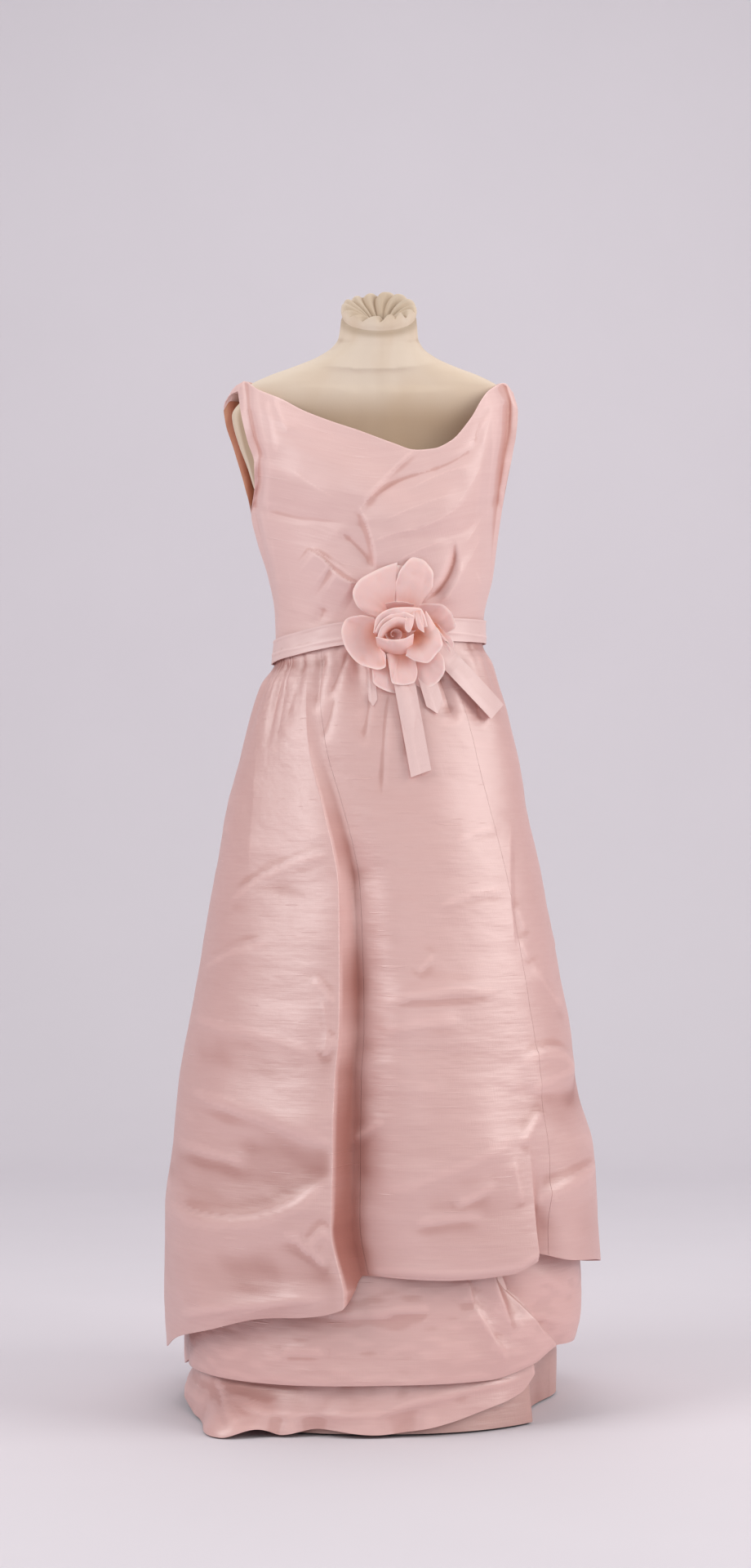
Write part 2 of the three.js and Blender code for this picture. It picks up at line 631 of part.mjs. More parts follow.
/** The overskirt's outside. `u` is the cloth's angle at the hem; `v` runs from the hem to the waist. */
function overskirt(u, v) {
  const hem = between(OVERSKIRT_HEM, "angle", "z", u);
  const drift = (z) => between(FRONT_FOLD_PATH, "z", "angle", z) - FRONT_FOLD.at;
  const carried = bell(u - FRONT_FOLD.at, FRONT_FOLD.hill);
  const top = between(WAIST, "angle", "z", u + drift(1044) * carried) - SEAM / 2;
  const z = lerp(hem, top, v);
  const angle = u + drift(z) * carried;
  const front = stepFold(FRONT_STEP, u - FRONT_FOLD.at, z);
  const side = stepFold(SIDE_STEP, u - SIDE_STEP.at, z);
  const soft = flutes(FLUTES, u, z, 120) - gathers(u, top - z);
  return around(ovalRadius(sectionAt(OVERSKIRT, z), angle) + front + side + soft, angle, z);
}

/** The underskirt's distance from the middle; at the waist it meets the overskirt's inside. */
function underskirtRadius(angle, z) {
  const fold = stepFold(DEEP_STEP, angle - DEEP_STEP.at, z);
  const below = between(WAIST, "angle", "z", angle) - z;
  const sewn = ovalRadius(sectionAt(OVERSKIRT, z), angle) - CLOTH - 2.5 * SEAM;
  return lerp(sewn, ovalRadius(sectionAt(UNDERSKIRT, z), angle) + fold, ramp(below, 2, 14));
}

/** The underskirt's outside. `v` runs from -1 at the floor, over 0 at the level rows, to 1 at the waist. */
function underskirt(u, v) {
  const top = between(WAIST, "angle", "z", u) - 1.5;
  const z = lerp(UNDERSKIRT_EVEN, v < 0 ? UNDERSKIRT_HEM : top, Math.abs(v));
  return around(underskirtRadius(u, z), u, z);
}

/** A flounce's distance from the middle: sewn close to the underskirt at its top and free below. */
function flounceRadius(free, angle, z, top) {
  const sewn = underskirtRadius(angle, z) + CLOTH + SEAM;
  return lerp(sewn, free, ramp(z, top - 2, top - FREE));
}

/** The middle flounce's outside, with a flap folded forward at the right. */
function middleFlounce(u, v) {
  const z = lerp(between(MIDDLE_HEM, "angle", "z", u), MIDDLE_TOP, v);
  const drift = between(FLAP_PATH, "z", "angle", z) - FLAP.at;
  const angle = u + drift * bell(u - FLAP.at, FLAP_HILL);
  const slit = stepFold(SLIT, angle - between(SLIT_PATH, "z", "angle", z), z) * ramp(z, 320, 235);
  const folds = slit + stepFold(FLAP, u - FLAP.at, z);
  const free = ovalRadius(sectionAt(MIDDLE, z), angle) + folds + flutes(MIDDLE_FLUTES, u, z, 60);
  return around(flounceRadius(free, angle, z, MIDDLE_TOP), angle, z);
}

/** The lowest flounce's outside, whose hem drags on the floor at the left. */
function lowerFlounce(u, v) {
  const z = lerp(between(LOWER_HEM, "angle", "z", u), LOWER_TOP, v);
  const fold = stepFold(DEEP_STEP, u - DEEP_STEP.at, z);
  const free = ovalRadius(sectionAt(LOWER, z), u) + fold + flutes(LOWER_FLUTES, u, z, 4);
  return around(flounceRadius(free, u, z, LOWER_TOP), u, z);
}

/** Panels of one skirt layer, each a wall between two of its seams, on the layer's shared angles. */
function skirtLayer(surface, colour, panels, angles, rows) {
  const halfGap = 0.04;
  panels.forEach(({ name, from, to }) => {
    const inside = angles.filter((angle) => angle > from + 1 && angle < to - 1);
    wall(name, colour, surface, [from + halfGap, ...inside, to - halfGap], rows, CLOTH);
  });
}

function addSkirt() {
  const waistward = stations(0, 1, 12, [{ at: 1, spread: 0.06, extra: 7 }]);
  const outer = stations(-180, 180, 66, [
    { at: FRONT_FOLD.at + 1, spread: 3, extra: 6 },
    { at: SIDE_STEP.at + 1, spread: 4, extra: 2 },
    { at: 0, spread: 70, extra: 0.5 },
  ]);
  skirtLayer(overskirt, COLOURS.silk, OVERSKIRT_PANELS, outer, waistward);
  const inner = stations(-180, 180, 44, [
    { at: -31, spread: 16, extra: 2.5 },
    { at: DEEP_STEP.at + 2, spread: 10, extra: 4.5 },
  ]);
  const levels = [UNDERSKIRT_HEM, 75, 140, LOWER_TOP, MIDDLE_TOP, 640];
  const even = UNDERSKIRT_EVEN - UNDERSKIRT_HEM;
  const under = [...levels.map((z) => (z - UNDERSKIRT_EVEN) / even), 0, 0.8, 1];
  skirtLayer(underskirt, COLOURS.under, UNDERSKIRT_PANELS, inner, under);
  skirtLayer(middleFlounce, COLOURS.silk, MIDDLE_PANELS, inner, stations(0, 1, 6));
  const lower = [0, 0.09, 0.2, 0.33, 0.62, 1];
  skirtLayer(lowerFlounce, COLOURS.silk, LOWER_PANELS, inner, lower);
}

// ---------------------------------------------------------------- bodice

/**
 * A patch stretched between four edges. It is ruled from the low edge to the high one, and then each
 * side edge's own bends are added, which die away across the patch: fast in depth, evenly otherwise.
 */
function patch(low, high, left, right, u, v) {
  const bendOf = (edge, end) => edge(v).sub(low(end).lerp(high(end), v));
  const near = bendOf(left, 0).multiply(new THREE.Vector3(1 - u, (1 - u) ** 3, 1 - u));
  const far = bendOf(right, 1).multiply(new THREE.Vector3(u, u ** 3, u));
  return low(u).lerp(high(u), v).add(near).add(far);
}

/** The waist seam on the bodice's side of it. */
function waistPoint(angle) {
  const z = between(WAIST, "angle", "z", angle);
  return around(ovalRadius(sectionAt(OVERSKIRT, 1090), angle), angle, z + 2 * SEAM);
}

/** How far one drape fold lifts the cloth at a place seen from the front. */
function drape(fold, x, z) {
  const lengthX = fold.x2 - fold.x1;
  const lengthZ = fold.z2 - fold.z1;
  const length = Math.hypot(lengthX, lengthZ);
  const along = ((x - fold.x1) * lengthX + (z - fold.z1) * lengthZ) / length ** 2;
  const side = ((x - fold.x1) * lengthZ - (z - fold.z1) * lengthX) / length;
  const bowed = side - fold.bow * 4 * along * (1 - along);
  const onSoftSide = Math.sign(bowed) === Math.sign(fold.soft);
  const across = bell(bowed, Math.abs(onSoftSide ? fold.soft : fold.sharp));
  const ends = smoothstep(along, -0.15, 0.25) * (1 - smoothstep(along, 0.8, 1.12));
  return fold.out * across * ends;
}

/** The front of the bodice from the waist (v = 0) to the neckline, with its bust and drape folds. */
function bodiceFront(u, v) {
  const low = (s) => waistPoint(lerp(-90, 90, s));
  const high = (s) => pointBetween(FRONT_NECKLINE, s);
  const left = (t) => pointBetween(LEFT_FRONT_EDGE, t);
  const right = (t) => pointBetween(RIGHT_FRONT_EDGE, t);
  const point = patch(low, high, left, right, clamp(u, 0, 1), clamp(v, 0, 1));
  const inside = 4 * clamp(u, 0, 1) * (1 - clamp(u, 0, 1));
  const bust = BUST.out * bell(v - BUST.height, BUST.spread) * inside ** 0.8;
  const lift = DRAPES.reduce((sum, fold) => sum + drape(fold, point.x, point.z), 0);
  point.y -= ramp(v, 0.05, 0.3) * bust * ramp(v, 1, 0.7);
  point.y -= ramp(v, 0.04, 0.12) * lift * Math.min(1, 2.5 * inside);
  return point;
}

/** One half of the bodice's back, from its side (u = 0) to the middle of the back. */
function bodiceBack(side, edge, neckline, u, v) {
  const low = (s) => waistPoint(side * lerp(90, 180, s));
  const top = (s) => pointBetween(neckline, s);
  const left = (t) => pointBetween(edge, t);
  const right = (t) => {
    return new THREE.Vector3(0, lerp(BACK_WAIST_Y, neckline[5].y, t), lerp(low(1).z, neckline[5].z, t));
  };
  const s = clamp(u, 0, 1);
  const t = clamp(v, 0, 1);
  const point = patch(low, top, left, right, s, t);
  const high = bell(t - BLADES.height, BLADES.spread) * ramp(t, 0.05, 0.3) * ramp(t, 1, 0.75);
  point.y += BLADES.out * high * Math.sin(Math.PI * (0.08 + 0.55 * s)) ** 2 * ramp(s, 0, 0.25);
  point.x += side * BLADES.wide * high * bell(s - 0.24, 0.2) * ramp(s, 0, 0.15);
  return point;
}

function addBodice() {
  const ahead = (point) => point.setY(Math.min(point.y, -SEAM / 2));
  const behind = (point) => point.setY(Math.max(point.y, SEAM / 2));
  const front = (u, v) => ahead(bodiceFront(u, v));
  const rows = stations(0, 1, 16);
  wall("bodice_front", COLOURS.silk, front, stations(0, 1, 23), rows, CLOTH, ahead);
  const backLeft = (u, v) => bodiceBack(-1, LEFT_BACK_EDGE, LEFT_BACK_NECKLINE, 1 - u, v);
  const backRight = (u, v) => bodiceBack(1, RIGHT_BACK_EDGE, RIGHT_BACK_NECKLINE, u, v);
  const away = (side) => (point) => {
    return behind(point).setX(side * Math.max(side * point.x, SEAM / 2));
  };
  const left = (u, v) => away(-1)(backLeft(u, v));
  const right = (u, v) => away(1)(backRight(u, v));
  const across = stations(0, 1, BACK_GRID.across);
  const up = stations(0, 1, BACK_GRID.up);
  wall("bodice_back_left", COLOURS.silk, left, across, up, CLOTH, away(-1));
  wall("bodice_back_right", COLOURS.silk, right, across, up, CLOTH, away(1));
  addLining(backLeft);
}

/** The lining of the left back, which shows through the left armhole: the panel's points moved in. */
function addLining(panel) {
  const moved = CLOTH + 1.2;
  const lining = (u, v) => panel(u, v).addScaledVector(outward(panel, u, v, 1e-3, 1e-3), -moved);
  const across = [4, 5, 6, 7, 8].map((column) => column / BACK_GRID.across);
  const up = [7, 8, 9, 10, 11].map((row) => row / BACK_GRID.up);
  wall("bodice_lining", COLOURS.lining, lining, across, up, 1);
}

// ---------------------------------------------------------------- sash, tails and rose

/** The sash, tied close over the waist seam: it follows the skirt and the bodice under it. */
function addSash() {
  const sash = (u, v) => {
    const z = between(WAIST, "angle", "z", u > 180 ? u - 360 : u) + SASH_WIDTH * (v - 0.5);
    const proud = SASH_CLEAR + RIBBON + 2.2 * (1 - v) + (0.8 + 1.5 * bell(u - 84, 9)) * v;
    return around(ovalRadius(sectionAt(OVERSKIRT, z), u) + proud, u, z);
  };
  const rows = stations(0, 1, 2);
  wall("sash_left", COLOURS.ribbon, sash, stations(-90, 12, 14), rows, RIBBON);
  wall("sash_right", COLOURS.ribbon, sash, stations(12.2, 90, 10), rows, RIBBON);
  wall("sash_back", COLOURS.ribbon, sash, stations(90.2, 269.8, 20), rows, RIBBON);
}

/** A ribbon tail in front of the skirt; its end is cut aslant by `cut`, or to a point if that is negative. */
function tail(row) {
  const along = new THREE.Vector2(row.x2 - row.x1, row.z2 - row.z1).normalize();
  return (u, v) => {
    const side = (u - 0.5) * row.wide;
    const slant = row.cut > 0 ? row.cut * (0.5 - u) : row.cut * Math.abs(2 * u - 1);
    const x = lerp(row.x2, row.x1, v) - along.y * side + along.x * slant * (1 - v);
    const z = lerp(row.z2, row.z1, v) + along.x * side + along.y * slant * (1 - v);
    const size = sectionAt(OVERSKIRT, z);
    const ahead = size.front * (1 - (Math.abs(x) / size.right) ** SQUARENESS) ** (1 / SQUARENESS);
    return new THREE.Vector3(x, -ahead - lerp(row.off2, row.off1, v), z);
  };
}

function addTails() {
  TAILS.forEach((row) => {
    wall(row.name, COLOURS.ribbon, tail(row), stations(0, 1, 3), stations(0, 1, 4), RIBBON);
  });
}

/** Turns a place given as right, up and out of the rose into the dress's own frame. */
function onRose(right, up, out) {
  const turn = rad(ROSE.turn);
  const x = ROSE.x + right * Math.cos(turn) + out * Math.sin(turn);
  const y = ROSE.y + right * Math.sin(turn) - out * Math.cos(turn);
  return new THREE.Vector3(x, y, ROSE.z + up);
}

/** An outer petal: a rounded blade that leans off the body and curls along its length. */
function petal(row) {
  return (u, v) => {
    const side = 2 * u - 1;
    const reach = row.long * v * (1 - 0.2 * side * side * v);
    const slope = rad(row.tilt + (row.curl * v) / 2);
    const halfWidth = (row.wide / 2) * (0.3 + 0.7 * Math.sin(Math.PI * (0.06 + 0.62 * v)) ** 0.8);
    const distance = row.from + reach * Math.cos(slope);
    const height = row.lift + reach * Math.sin(slope) + row.cup * side * side * v;
    const spread = side * halfWidth;
    const turn = rad(row.angle);
    const right = distance * Math.sin(turn) + spread * Math.cos(turn);
    const up = distance * Math.cos(turn) - spread * Math.sin(turn);
    return onRose(right, up, height);
  };
}

/** An inner petal: a wall bent round the rose's middle, leaning out towards a rounded rim. */
function cup(row) {
  return (u, v) => {
    const side = 2 * u - 1;
    const height = ROSE.padHeight + SEAM + row.high * v * (1 - 0.3 * side ** 4);
    const radius = row.radius + row.flare * Math.abs(v) ** 1.6;
    const turn = rad(lerp(row.from, row.to, u));
    return onRose(radius * Math.sin(turn), radius * Math.cos(turn), height);
  };
}

/** The heart: one strip rolled into an open spiral. */
function heart(u, v) {
  const turn = rad(HEART.from + 360 * HEART.turns * u);
  const radius = HEART.inner + HEART.pitch * HEART.turns * u + HEART.flare * v * v;
  const height = ROSE.padHeight + SEAM + HEART.high * v * lerp(0.8, 1, u);
  return onRose(radius * Math.sin(turn), radius * Math.cos(turn), height);
}

function addRose() {
  const pad = [0, 0.5, 1].map((share) => {
    return Array.from({ length: 20 }, (_, i) => {
      const turn = (2 * Math.PI * i) / 20;
      const radius = ROSE.padRadius - (share === 0 ? 1.5 : 0);
      const height = lerp(ROSE.padBack, ROSE.padHeight, share);
      return onRose(radius * Math.sin(turn), radius * Math.cos(turn), height);
    });
  });
  stack("rose_pad", COLOURS.petal, pad);
  PETALS.forEach((row) => {
    wall(row.name, COLOURS.petal, petal(row), stations(0, 1, 5), stations(0, 1, 6), PETAL);
  });
  CUPS.forEach((row) => {
    wall(row.name, COLOURS.petal, cup(row), stations(0, 1, 8), stations(0, 1, 4), PETAL);
  });
  wall("rose_heart", COLOURS.petal, heart, stations(0, 1, 20), stations(0, 1, 3), PETAL);
}

// ---------------------------------------------------------------- dress form

/** One ring of the form, `share` of its full size about `centre`, with each point lifted. */
function formRing(z, share, centre, lift) {
  const half = between(FORM, "z", "half", z);
  const front = between(FORM, "z", "front", z);
  const size = { left: half, right: half, front, back: between(FORM, "z", "back", z) };
  const count = NECK.pleats * 3;
  return Array.from({ length: count }, (_, i) => {
    const angle = (360 * i) / count;
    const point = around(ovalRadius(size, angle, FORM_POWER), angle, z);
    point.x = lerp(centre.x, point.x + between(FORM, "z", "middle", z), share);
    point.y = lerp(centre.y, point.y, share);
    point.z += lift(point, i);
    return point;
  });
}

function addForm() {
  const levels = [742, 754, 800, 900, 1060, 1150, 1240, 1300, 1345, 1375, 1396, 1412];
  levels.push(1425, 1436, 1446, 1457, 1468, 1481, 1498);
  const rings = levels.map((z) => formRing(z, 1, { x: 0, y: 0 }, () => 0));
  NECK_RINGS.forEach(({ share, rise, pleat }) => {
    const crease = (i) => pleat * NECK.depth * [-1, 0.9, 0.3][i % 3];
    const lift = (point, i) => rise + NECK.slope * point.y + crease(i);
    rings.push(formRing(NECK.height, share, NECK_HOLE, lift));
  });
  stack("form_body", FORM_COLOURS.cover, rings, 0.9);
}

/** A disc or pole standing on a height. */
function addRound(name, colour, radius, from, to, sides) {
  const geometry = new THREE.CylinderGeometry(radius, radius, to - from, sides);
  geometry.rotateX(Math.PI / 2);
  const material = new THREE.MeshStandardMaterial({ color: colour, roughness: 0.4, metalness: 0.6 });
  const mesh = new THREE.Mesh(geometry, material);
  mesh.name = name;
  mesh.position.z = (from + to) / 2;
  group.add(mesh);
}

addSkirt();
addBodice();
addSash();
addTails();
addRose();
addForm();
addRound("stand_base", FORM_COLOURS.base, BASE.radius, 0, BASE.height, 48);
addRound("stand_pole", FORM_COLOURS.pole, POLE.radius, BASE.height + SEAM, FORM[0].z - SEAM, 16);

export default group;
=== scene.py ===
# %% [markdown]
# # A silk organza evening dress on a dress form
# The real dress is sewn from stiff pink silk organza with a satin face: a draped bodice, a ribbon sash
# with a cloth rose, and a skirt of three tiers. It stands on a padded form with a drawn-in neck.
# The solids of every panel are already made and packed. Here each cloth panel gets a finer sheet that
# follows the same form, because a few hundred flat faces can't carry folds, creases and sheen.

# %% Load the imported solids
import math

import bpy
import numpy as np
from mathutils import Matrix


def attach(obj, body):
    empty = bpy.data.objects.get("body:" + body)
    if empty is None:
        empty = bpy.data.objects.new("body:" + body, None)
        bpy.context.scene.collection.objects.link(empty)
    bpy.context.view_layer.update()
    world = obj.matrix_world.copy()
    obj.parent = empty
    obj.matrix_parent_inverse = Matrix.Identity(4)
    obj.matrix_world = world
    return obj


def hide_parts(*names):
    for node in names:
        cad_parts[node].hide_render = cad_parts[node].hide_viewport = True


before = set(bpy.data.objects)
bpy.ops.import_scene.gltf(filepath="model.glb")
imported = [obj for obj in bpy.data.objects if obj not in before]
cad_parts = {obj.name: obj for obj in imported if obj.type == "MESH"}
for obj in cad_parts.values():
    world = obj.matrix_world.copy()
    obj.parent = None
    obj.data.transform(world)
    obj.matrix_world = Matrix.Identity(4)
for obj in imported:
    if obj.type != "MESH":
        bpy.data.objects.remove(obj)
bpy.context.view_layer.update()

# %% [markdown]
# ## Camera
# A level camera at the height of the hips, a good way off. From close by a wide lens would look down on
# the hem and up at the neck; the long lens from afar shows the skirt's rings as flat ovals.

# %% Camera
DISTANCE, HIPS = 4.6, 0.866
view = bpy.data.cameras.new("view")
view.lens = 75
view.sensor_width = 36
view.clip_end = 60
camera = bpy.data.objects.new("view", view)
camera.location = (-0.001, -DISTANCE, HIPS)
camera.rotation_euler = (math.radians(90), 0, 0)
bpy.context.scene.collection.objects.link(camera)
bpy.context.scene.camera = camera
print("camera at", tuple(camera.location))

# %% [markdown]
# ## Small helpers for numbers
# All shapes are worked out in millimetres on whole arrays. The front faces -Y, and an angle round the
# figure starts at the front and grows towards the right: 90 is the right side, 180 the back.

# %% Units
MM = 0.001
print("one millimetre is", MM, "of Blender's metres")


# %% Curves, bells and ramps
def between(table, at, column=1):
    """Value of a table's column between its rows: a cubic whose slope in a row is the harmonic mean of
    the slopes on both sides, so it never overshoots."""
    table = np.asarray(table, float)
    x, y = table[:, 0], table[:, column]
    at = np.clip(at, x[0], x[-1])
    i = np.clip(np.searchsorted(x, at) - 1, 0, len(x) - 2)
    slope = np.diff(y) / np.diff(x)
    product = slope[:-1] * slope[1:]
    total = np.where(product > 0, slope[:-1] + slope[1:], 1)
    tangent = np.concatenate([slope[:1], np.where(product > 0, 2 * product / total, 0), slope[-1:]])
    width = np.diff(x)[i]
    t = (at - x[i]) / width
    ends = y[i] + (y[i + 1] - y[i]) * t * t * (3 - 2 * t)
    return ends + width * t * (1 - t) * ((1 - t) * tangent[i] - t * tangent[i + 1])


def bell(distance, width, power=2):
    """1 at the middle, falling as exp(-|distance / width| to the power)."""
    return np.exp(-(np.abs(distance / width) ** power))


def ramp(place, none, full):
    """0 at `none` and 1 at `full`, by the smooth step 3t^2 - 2t^3."""
    share = np.clip((place - none) / (full - none), 0, 1)
    return share * share * (3 - 2 * share)


def lerp(first, second, share):
    """The straight mix of two values."""
    return first + (second - first) * share


def stations(low, high, count, dense=()):
    """count + 1 numbers that share out the running sum of 1 plus a bell for each (place, spread, extra)."""
    samples = 4001
    fine = np.linspace(low, high, samples)
    weight = np.ones(samples) + sum(extra * bell(fine - place, spread) for place, spread, extra in dense)
    running = np.concatenate([[0], np.cumsum((weight[1:] + weight[:-1]) / 2)])
    return np.interp(np.linspace(0, running[-1], count + 1), running, fine)


def ripple(across, along, seed, length, waves=7):
    """Soft unevenness of cloth: the mean of plane waves in seeded directions, about 1 high, with
    wavelengths from 0.7 to 1.5 times `length`."""
    chance = np.random.default_rng(seed)
    total = 0
    for _ in range(waves):
        way = chance.uniform(0, math.pi)
        pace = 2 * math.pi / (length * chance.uniform(0.7, 1.5))
        place = across * math.cos(way) + along * math.sin(way)
        total = total + np.cos(place * pace + chance.uniform(0, 2 * math.pi))
    return total / math.sqrt(waves / 2)


def around(radius, angle, z):
    """The point at a distance from the middle line, an angle and a height."""
    turn = np.radians(angle)
    return np.stack(np.broadcast_arrays(radius * np.sin(turn), -radius * np.cos(turn), z), axis=-1)


SQUARENESS = 2.3


def oval_radius(table, z, angle):
    """Distance to the oval |sin / width|^p + |cos / depth|^p = 1, with p the squareness, that a table of
    sections has at z."""
    across, ahead = np.sin(np.radians(angle)), np.cos(np.radians(angle))
    width = np.where(across < 0, between(table, z, 1), between(table, z, 2))
    depth = np.where(ahead > 0, between(table, z, 3), between(table, z, 4))
    total = np.abs(across / width) ** SQUARENESS + np.abs(ahead / depth) ** SQUARENESS
    return total ** (-1 / SQUARENESS)


TENT = 1.25


def creases(rows, across, up):
    """Sum of single creases, each along a line from (x1, z1) to (x2, z2) that bows sideways. Its height
    is a bell of the distance to the line, wide on the soft side and narrow on the sharp one, and it dies
    away past both ends. Its power near 1 makes the bell a tent, as stiff cloth folds into flat facets."""
    total = np.zeros(np.broadcast(across, up).shape)
    for x1, z1, x2, z2, bow, out, soft, sharp in rows:
        run, rise = x2 - x1, z2 - z1
        length = math.hypot(run, rise)
        along = ((across - x1) * run + (up - z1) * rise) / length**2
        side = ((across - x1) * rise - (up - z1) * run) / length - bow * 4 * along * (1 - along)
        width = np.where(np.sign(side) == math.copysign(1, soft), abs(soft), sharp)
        ends = ramp(along, -0.12, 0.22) * (1 - ramp(along, 0.78, 1.12))
        total += out * bell(np.hypot(side, 1.5), width, TENT) * ends
    return total


print("half way up a ramp:", float(ramp(0.5, 0, 1)))

# %% [markdown]
# ## From a grid of points to cloth
# Cloth is a sheet with a real thickness. The grid of points is its outside; the same grid moved in along
# the sheet's own normals is its inside, and narrow strips close the edges. A map in metres follows the
# sheet, so threads keep their true size, and an attribute tells the material which points lie on a ridge
# and which in a valley.


# %% Cloth from a grid
def normals(points):
    """Unit normals of a grid: the cross product of its steps along both directions."""
    out = np.cross(np.gradient(points, axis=0), np.gradient(points, axis=1))
    return out / np.maximum(np.linalg.norm(out, axis=2, keepdims=True), 1e-9)


def smoothed(points, passes):
    """The grid after repeated averaging of each point with its two neighbours, in both directions."""
    for _ in range(passes):
        for axis in (0, 1):
            count = points.shape[axis]
            wide = points.take([0, *range(count), -1], axis)
            before, after = wide.take(range(count), axis), wide.take(range(2, count + 2), axis)
            points = (before + 2 * points + after) / 4
    return points


def averaged(points, reach):
    """The grid's moving mean over `reach` cells to each side, in both directions, from running sums."""
    for axis in (0, 1):
        first, last = points.take([0] * (reach + 1), axis), points.take([-1] * reach, axis)
        wide = np.concatenate([first, points, last], axis)
        running = np.cumsum(wide, axis=axis)
        count, span = points.shape[axis], 2 * reach + 1
        points = (running.take(range(span, span + count), axis) - running.take(range(count), axis)) / span
    return points


def hollow(points, reach=9, full=9):
    """How far each point lies over (+1) or under (-1) the mean of the cloth about it."""
    over = ((points - averaged(averaged(points, reach), reach)) * normals(points)).sum(axis=2)
    return np.clip(over / full, -1, 1)


def ridge(points, passes=14, full=2.5):
    """How far each point stands over (+1) or under (-1) the smoothed sheet; `full` mm counts as 1."""
    over = ((points - smoothed(points, passes)) * normals(points)).sum(axis=2)
    return np.clip(over / full, -1, 1)


def fine_ridge(points):
    """The same for the finest creases, where 0.3 mm over a lightly smoothed sheet already counts as 1."""
    return ridge(points, 3, 0.3)


def arc_map(points):
    """A map of the sheet in metres: the mean running length along each direction of the grid."""
    steps = [np.linalg.norm(np.diff(points, axis=axis), axis=2).mean(axis=1 - axis) for axis in (0, 1)]
    across, along = (np.concatenate([[0], np.cumsum(step)]) * MM for step in steps)
    return np.stack(np.meshgrid(across, along, indexing="ij"), axis=-1)


def measure(points):
    """Width, length and area of a sheet in metres: its longest rows, and the sum of its faces."""
    width, length = (np.linalg.norm(np.diff(points, axis=a), axis=2).sum(axis=a).max() for a in (0, 1))
    first, second = points[1:, 1:] - points[:-1, :-1], points[:-1, 1:] - points[1:, :-1]
    area = np.linalg.norm(np.cross(first, second), axis=2).sum() / 2
    return width * MM, length * MM, area * 1e-6


def new_mesh(name, vertices, faces, cloth_map, marks, sharp=None):
    """A smooth mesh from places in millimetres and lists of corners. Each point has a place on the cloth
    and one number per mark, and an edge is sharp where both its points are."""
    mesh = bpy.data.meshes.new(name)
    mesh.from_pydata((vertices * MM).tolist(), [], faces)
    corners = np.empty(len(mesh.loops), int)
    mesh.loops.foreach_get("vertex_index", corners)
    layer = mesh.uv_layers.new(name="cloth")
    layer.uv.foreach_set("vector", cloth_map[corners].ravel().astype(np.float32))
    for mark, values in marks.items():
        mesh.attributes.new(mark, "FLOAT", "POINT").data.foreach_set("value", values.astype(np.float32))
    mesh.polygons.foreach_set("use_smooth", np.ones(len(mesh.polygons), bool))
    if sharp is not None:
        ends = np.empty(len(mesh.edges) * 2, int)
        mesh.edges.foreach_get("vertices", ends)
        edge = sharp[ends.reshape(-1, 2)].all(axis=1)
        mesh.attributes.new("sharp_edge", "BOOLEAN", "EDGE").data.foreach_set("value", edge)
    mesh.update()
    thing = bpy.data.objects.new(name, mesh)
    bpy.context.scene.collection.objects.link(thing)
    return thing


def cloth_sheet(name, points, thick, threads=None, **marks):
    """The grid and its copy moved in by `thick`, closed round the edges, as one mesh. Unless told
    otherwise it is marked with its `fine` creases, its folds as `ridge` and its `wide` hollows."""
    n, m = points.shape[:2]
    inner = points - thick * normals(points)
    vertices = np.concatenate([points.reshape(-1, 3), inner.reshape(-1, 3)])
    index, deep = np.arange(n * m).reshape(n, m), n * m

    def quads(a, b, c, d):
        return np.stack([a.ravel(), b.ravel(), c.ravel(), d.ravel()], axis=1)

    a, b, c, d = index[:-1, :-1], index[1:, :-1], index[1:, 1:], index[:-1, 1:]
    low, high, first, last = index[:, 0], index[:, -1], index[0], index[-1]
    faces = np.concatenate(
        [
            quads(a, b, c, d),
            quads(a + deep, d + deep, c + deep, b + deep),
            quads(low[:-1], low[:-1] + deep, low[1:] + deep, low[1:]),
            quads(high[:-1], high[1:], high[1:] + deep, high[:-1] + deep),
            quads(first[:-1], first[1:], first[1:] + deep, first[:-1] + deep),
            quads(last[:-1], last[:-1] + deep, last[1:] + deep, last[1:]),
        ]
    )
    border = np.zeros((n, m), bool)
    border[[0, -1]] = border[:, [0, -1]] = True
    threads = arc_map(points) if threads is None else threads
    marks = {"ridge": ridge(points), "fine": fine_ridge(points), "wide": hollow(points), **marks}
    both = {key: np.tile(np.broadcast_to(value, (n, m)).ravel(), 2) for key, value in marks.items()}
    cloth_map = np.tile(threads.reshape(-1, 2), (2, 1))
    return new_mesh(name, vertices, faces.tolist(), cloth_map, both, np.tile(border.ravel(), 2))


def turned_in(points, depth, bend=1.6, steps=5):
    """The sheet with its last rows turned to the inside: half a circle of radius `bend`, then a straight
    run of `depth` back along the sheet."""
    edge = points[:, -1]
    way = edge - points[:, -3]
    way /= np.linalg.norm(way, axis=1, keepdims=True)
    inward = -normals(points)[:, -2]
    rows = [points]
    for turn in np.linspace(0, math.pi, steps + 1)[1:]:
        row = edge + bend * (math.sin(turn) * way + (1 - math.cos(turn)) * inward)
        rows.append(row[:, None])
    for share in (0.5, 1):
        rows.append((edge + 2 * bend * inward - depth * share * way)[:, None])
    return np.concatenate(rows, axis=1)


square = np.array([[(0, 0, 0), (0, 10, 0)], [(10, 0, 0), (10, 10, 0)]])
print("a square of 10 mm has width, length and area", measure(square))

# %% [markdown]
# ## Shader maths
# A material is a little formula. Wrapping each socket in a class that understands + and * lets that
# formula be written as one, while Blender still gets plain Math nodes.


# %% Shader helpers
class Wire:
    """A value in a material. Python's operators on it add Math nodes."""

    def __init__(self, finish, socket):
        self.finish, self.socket = finish, socket

    def maths(self, operation, first, second):
        return self.finish.node("ShaderNodeMath", {"operation": operation}, {0: first, 1: second})

    def __add__(self, other):
        return self.maths("ADD", self, other)

    def __sub__(self, other):
        return self.maths("SUBTRACT", self, other)

    def __rsub__(self, other):
        return self.maths("SUBTRACT", other, self)

    def __mul__(self, other):
        return self.maths("MULTIPLY", self, other)

    __radd__, __rmul__ = __add__, __mul__


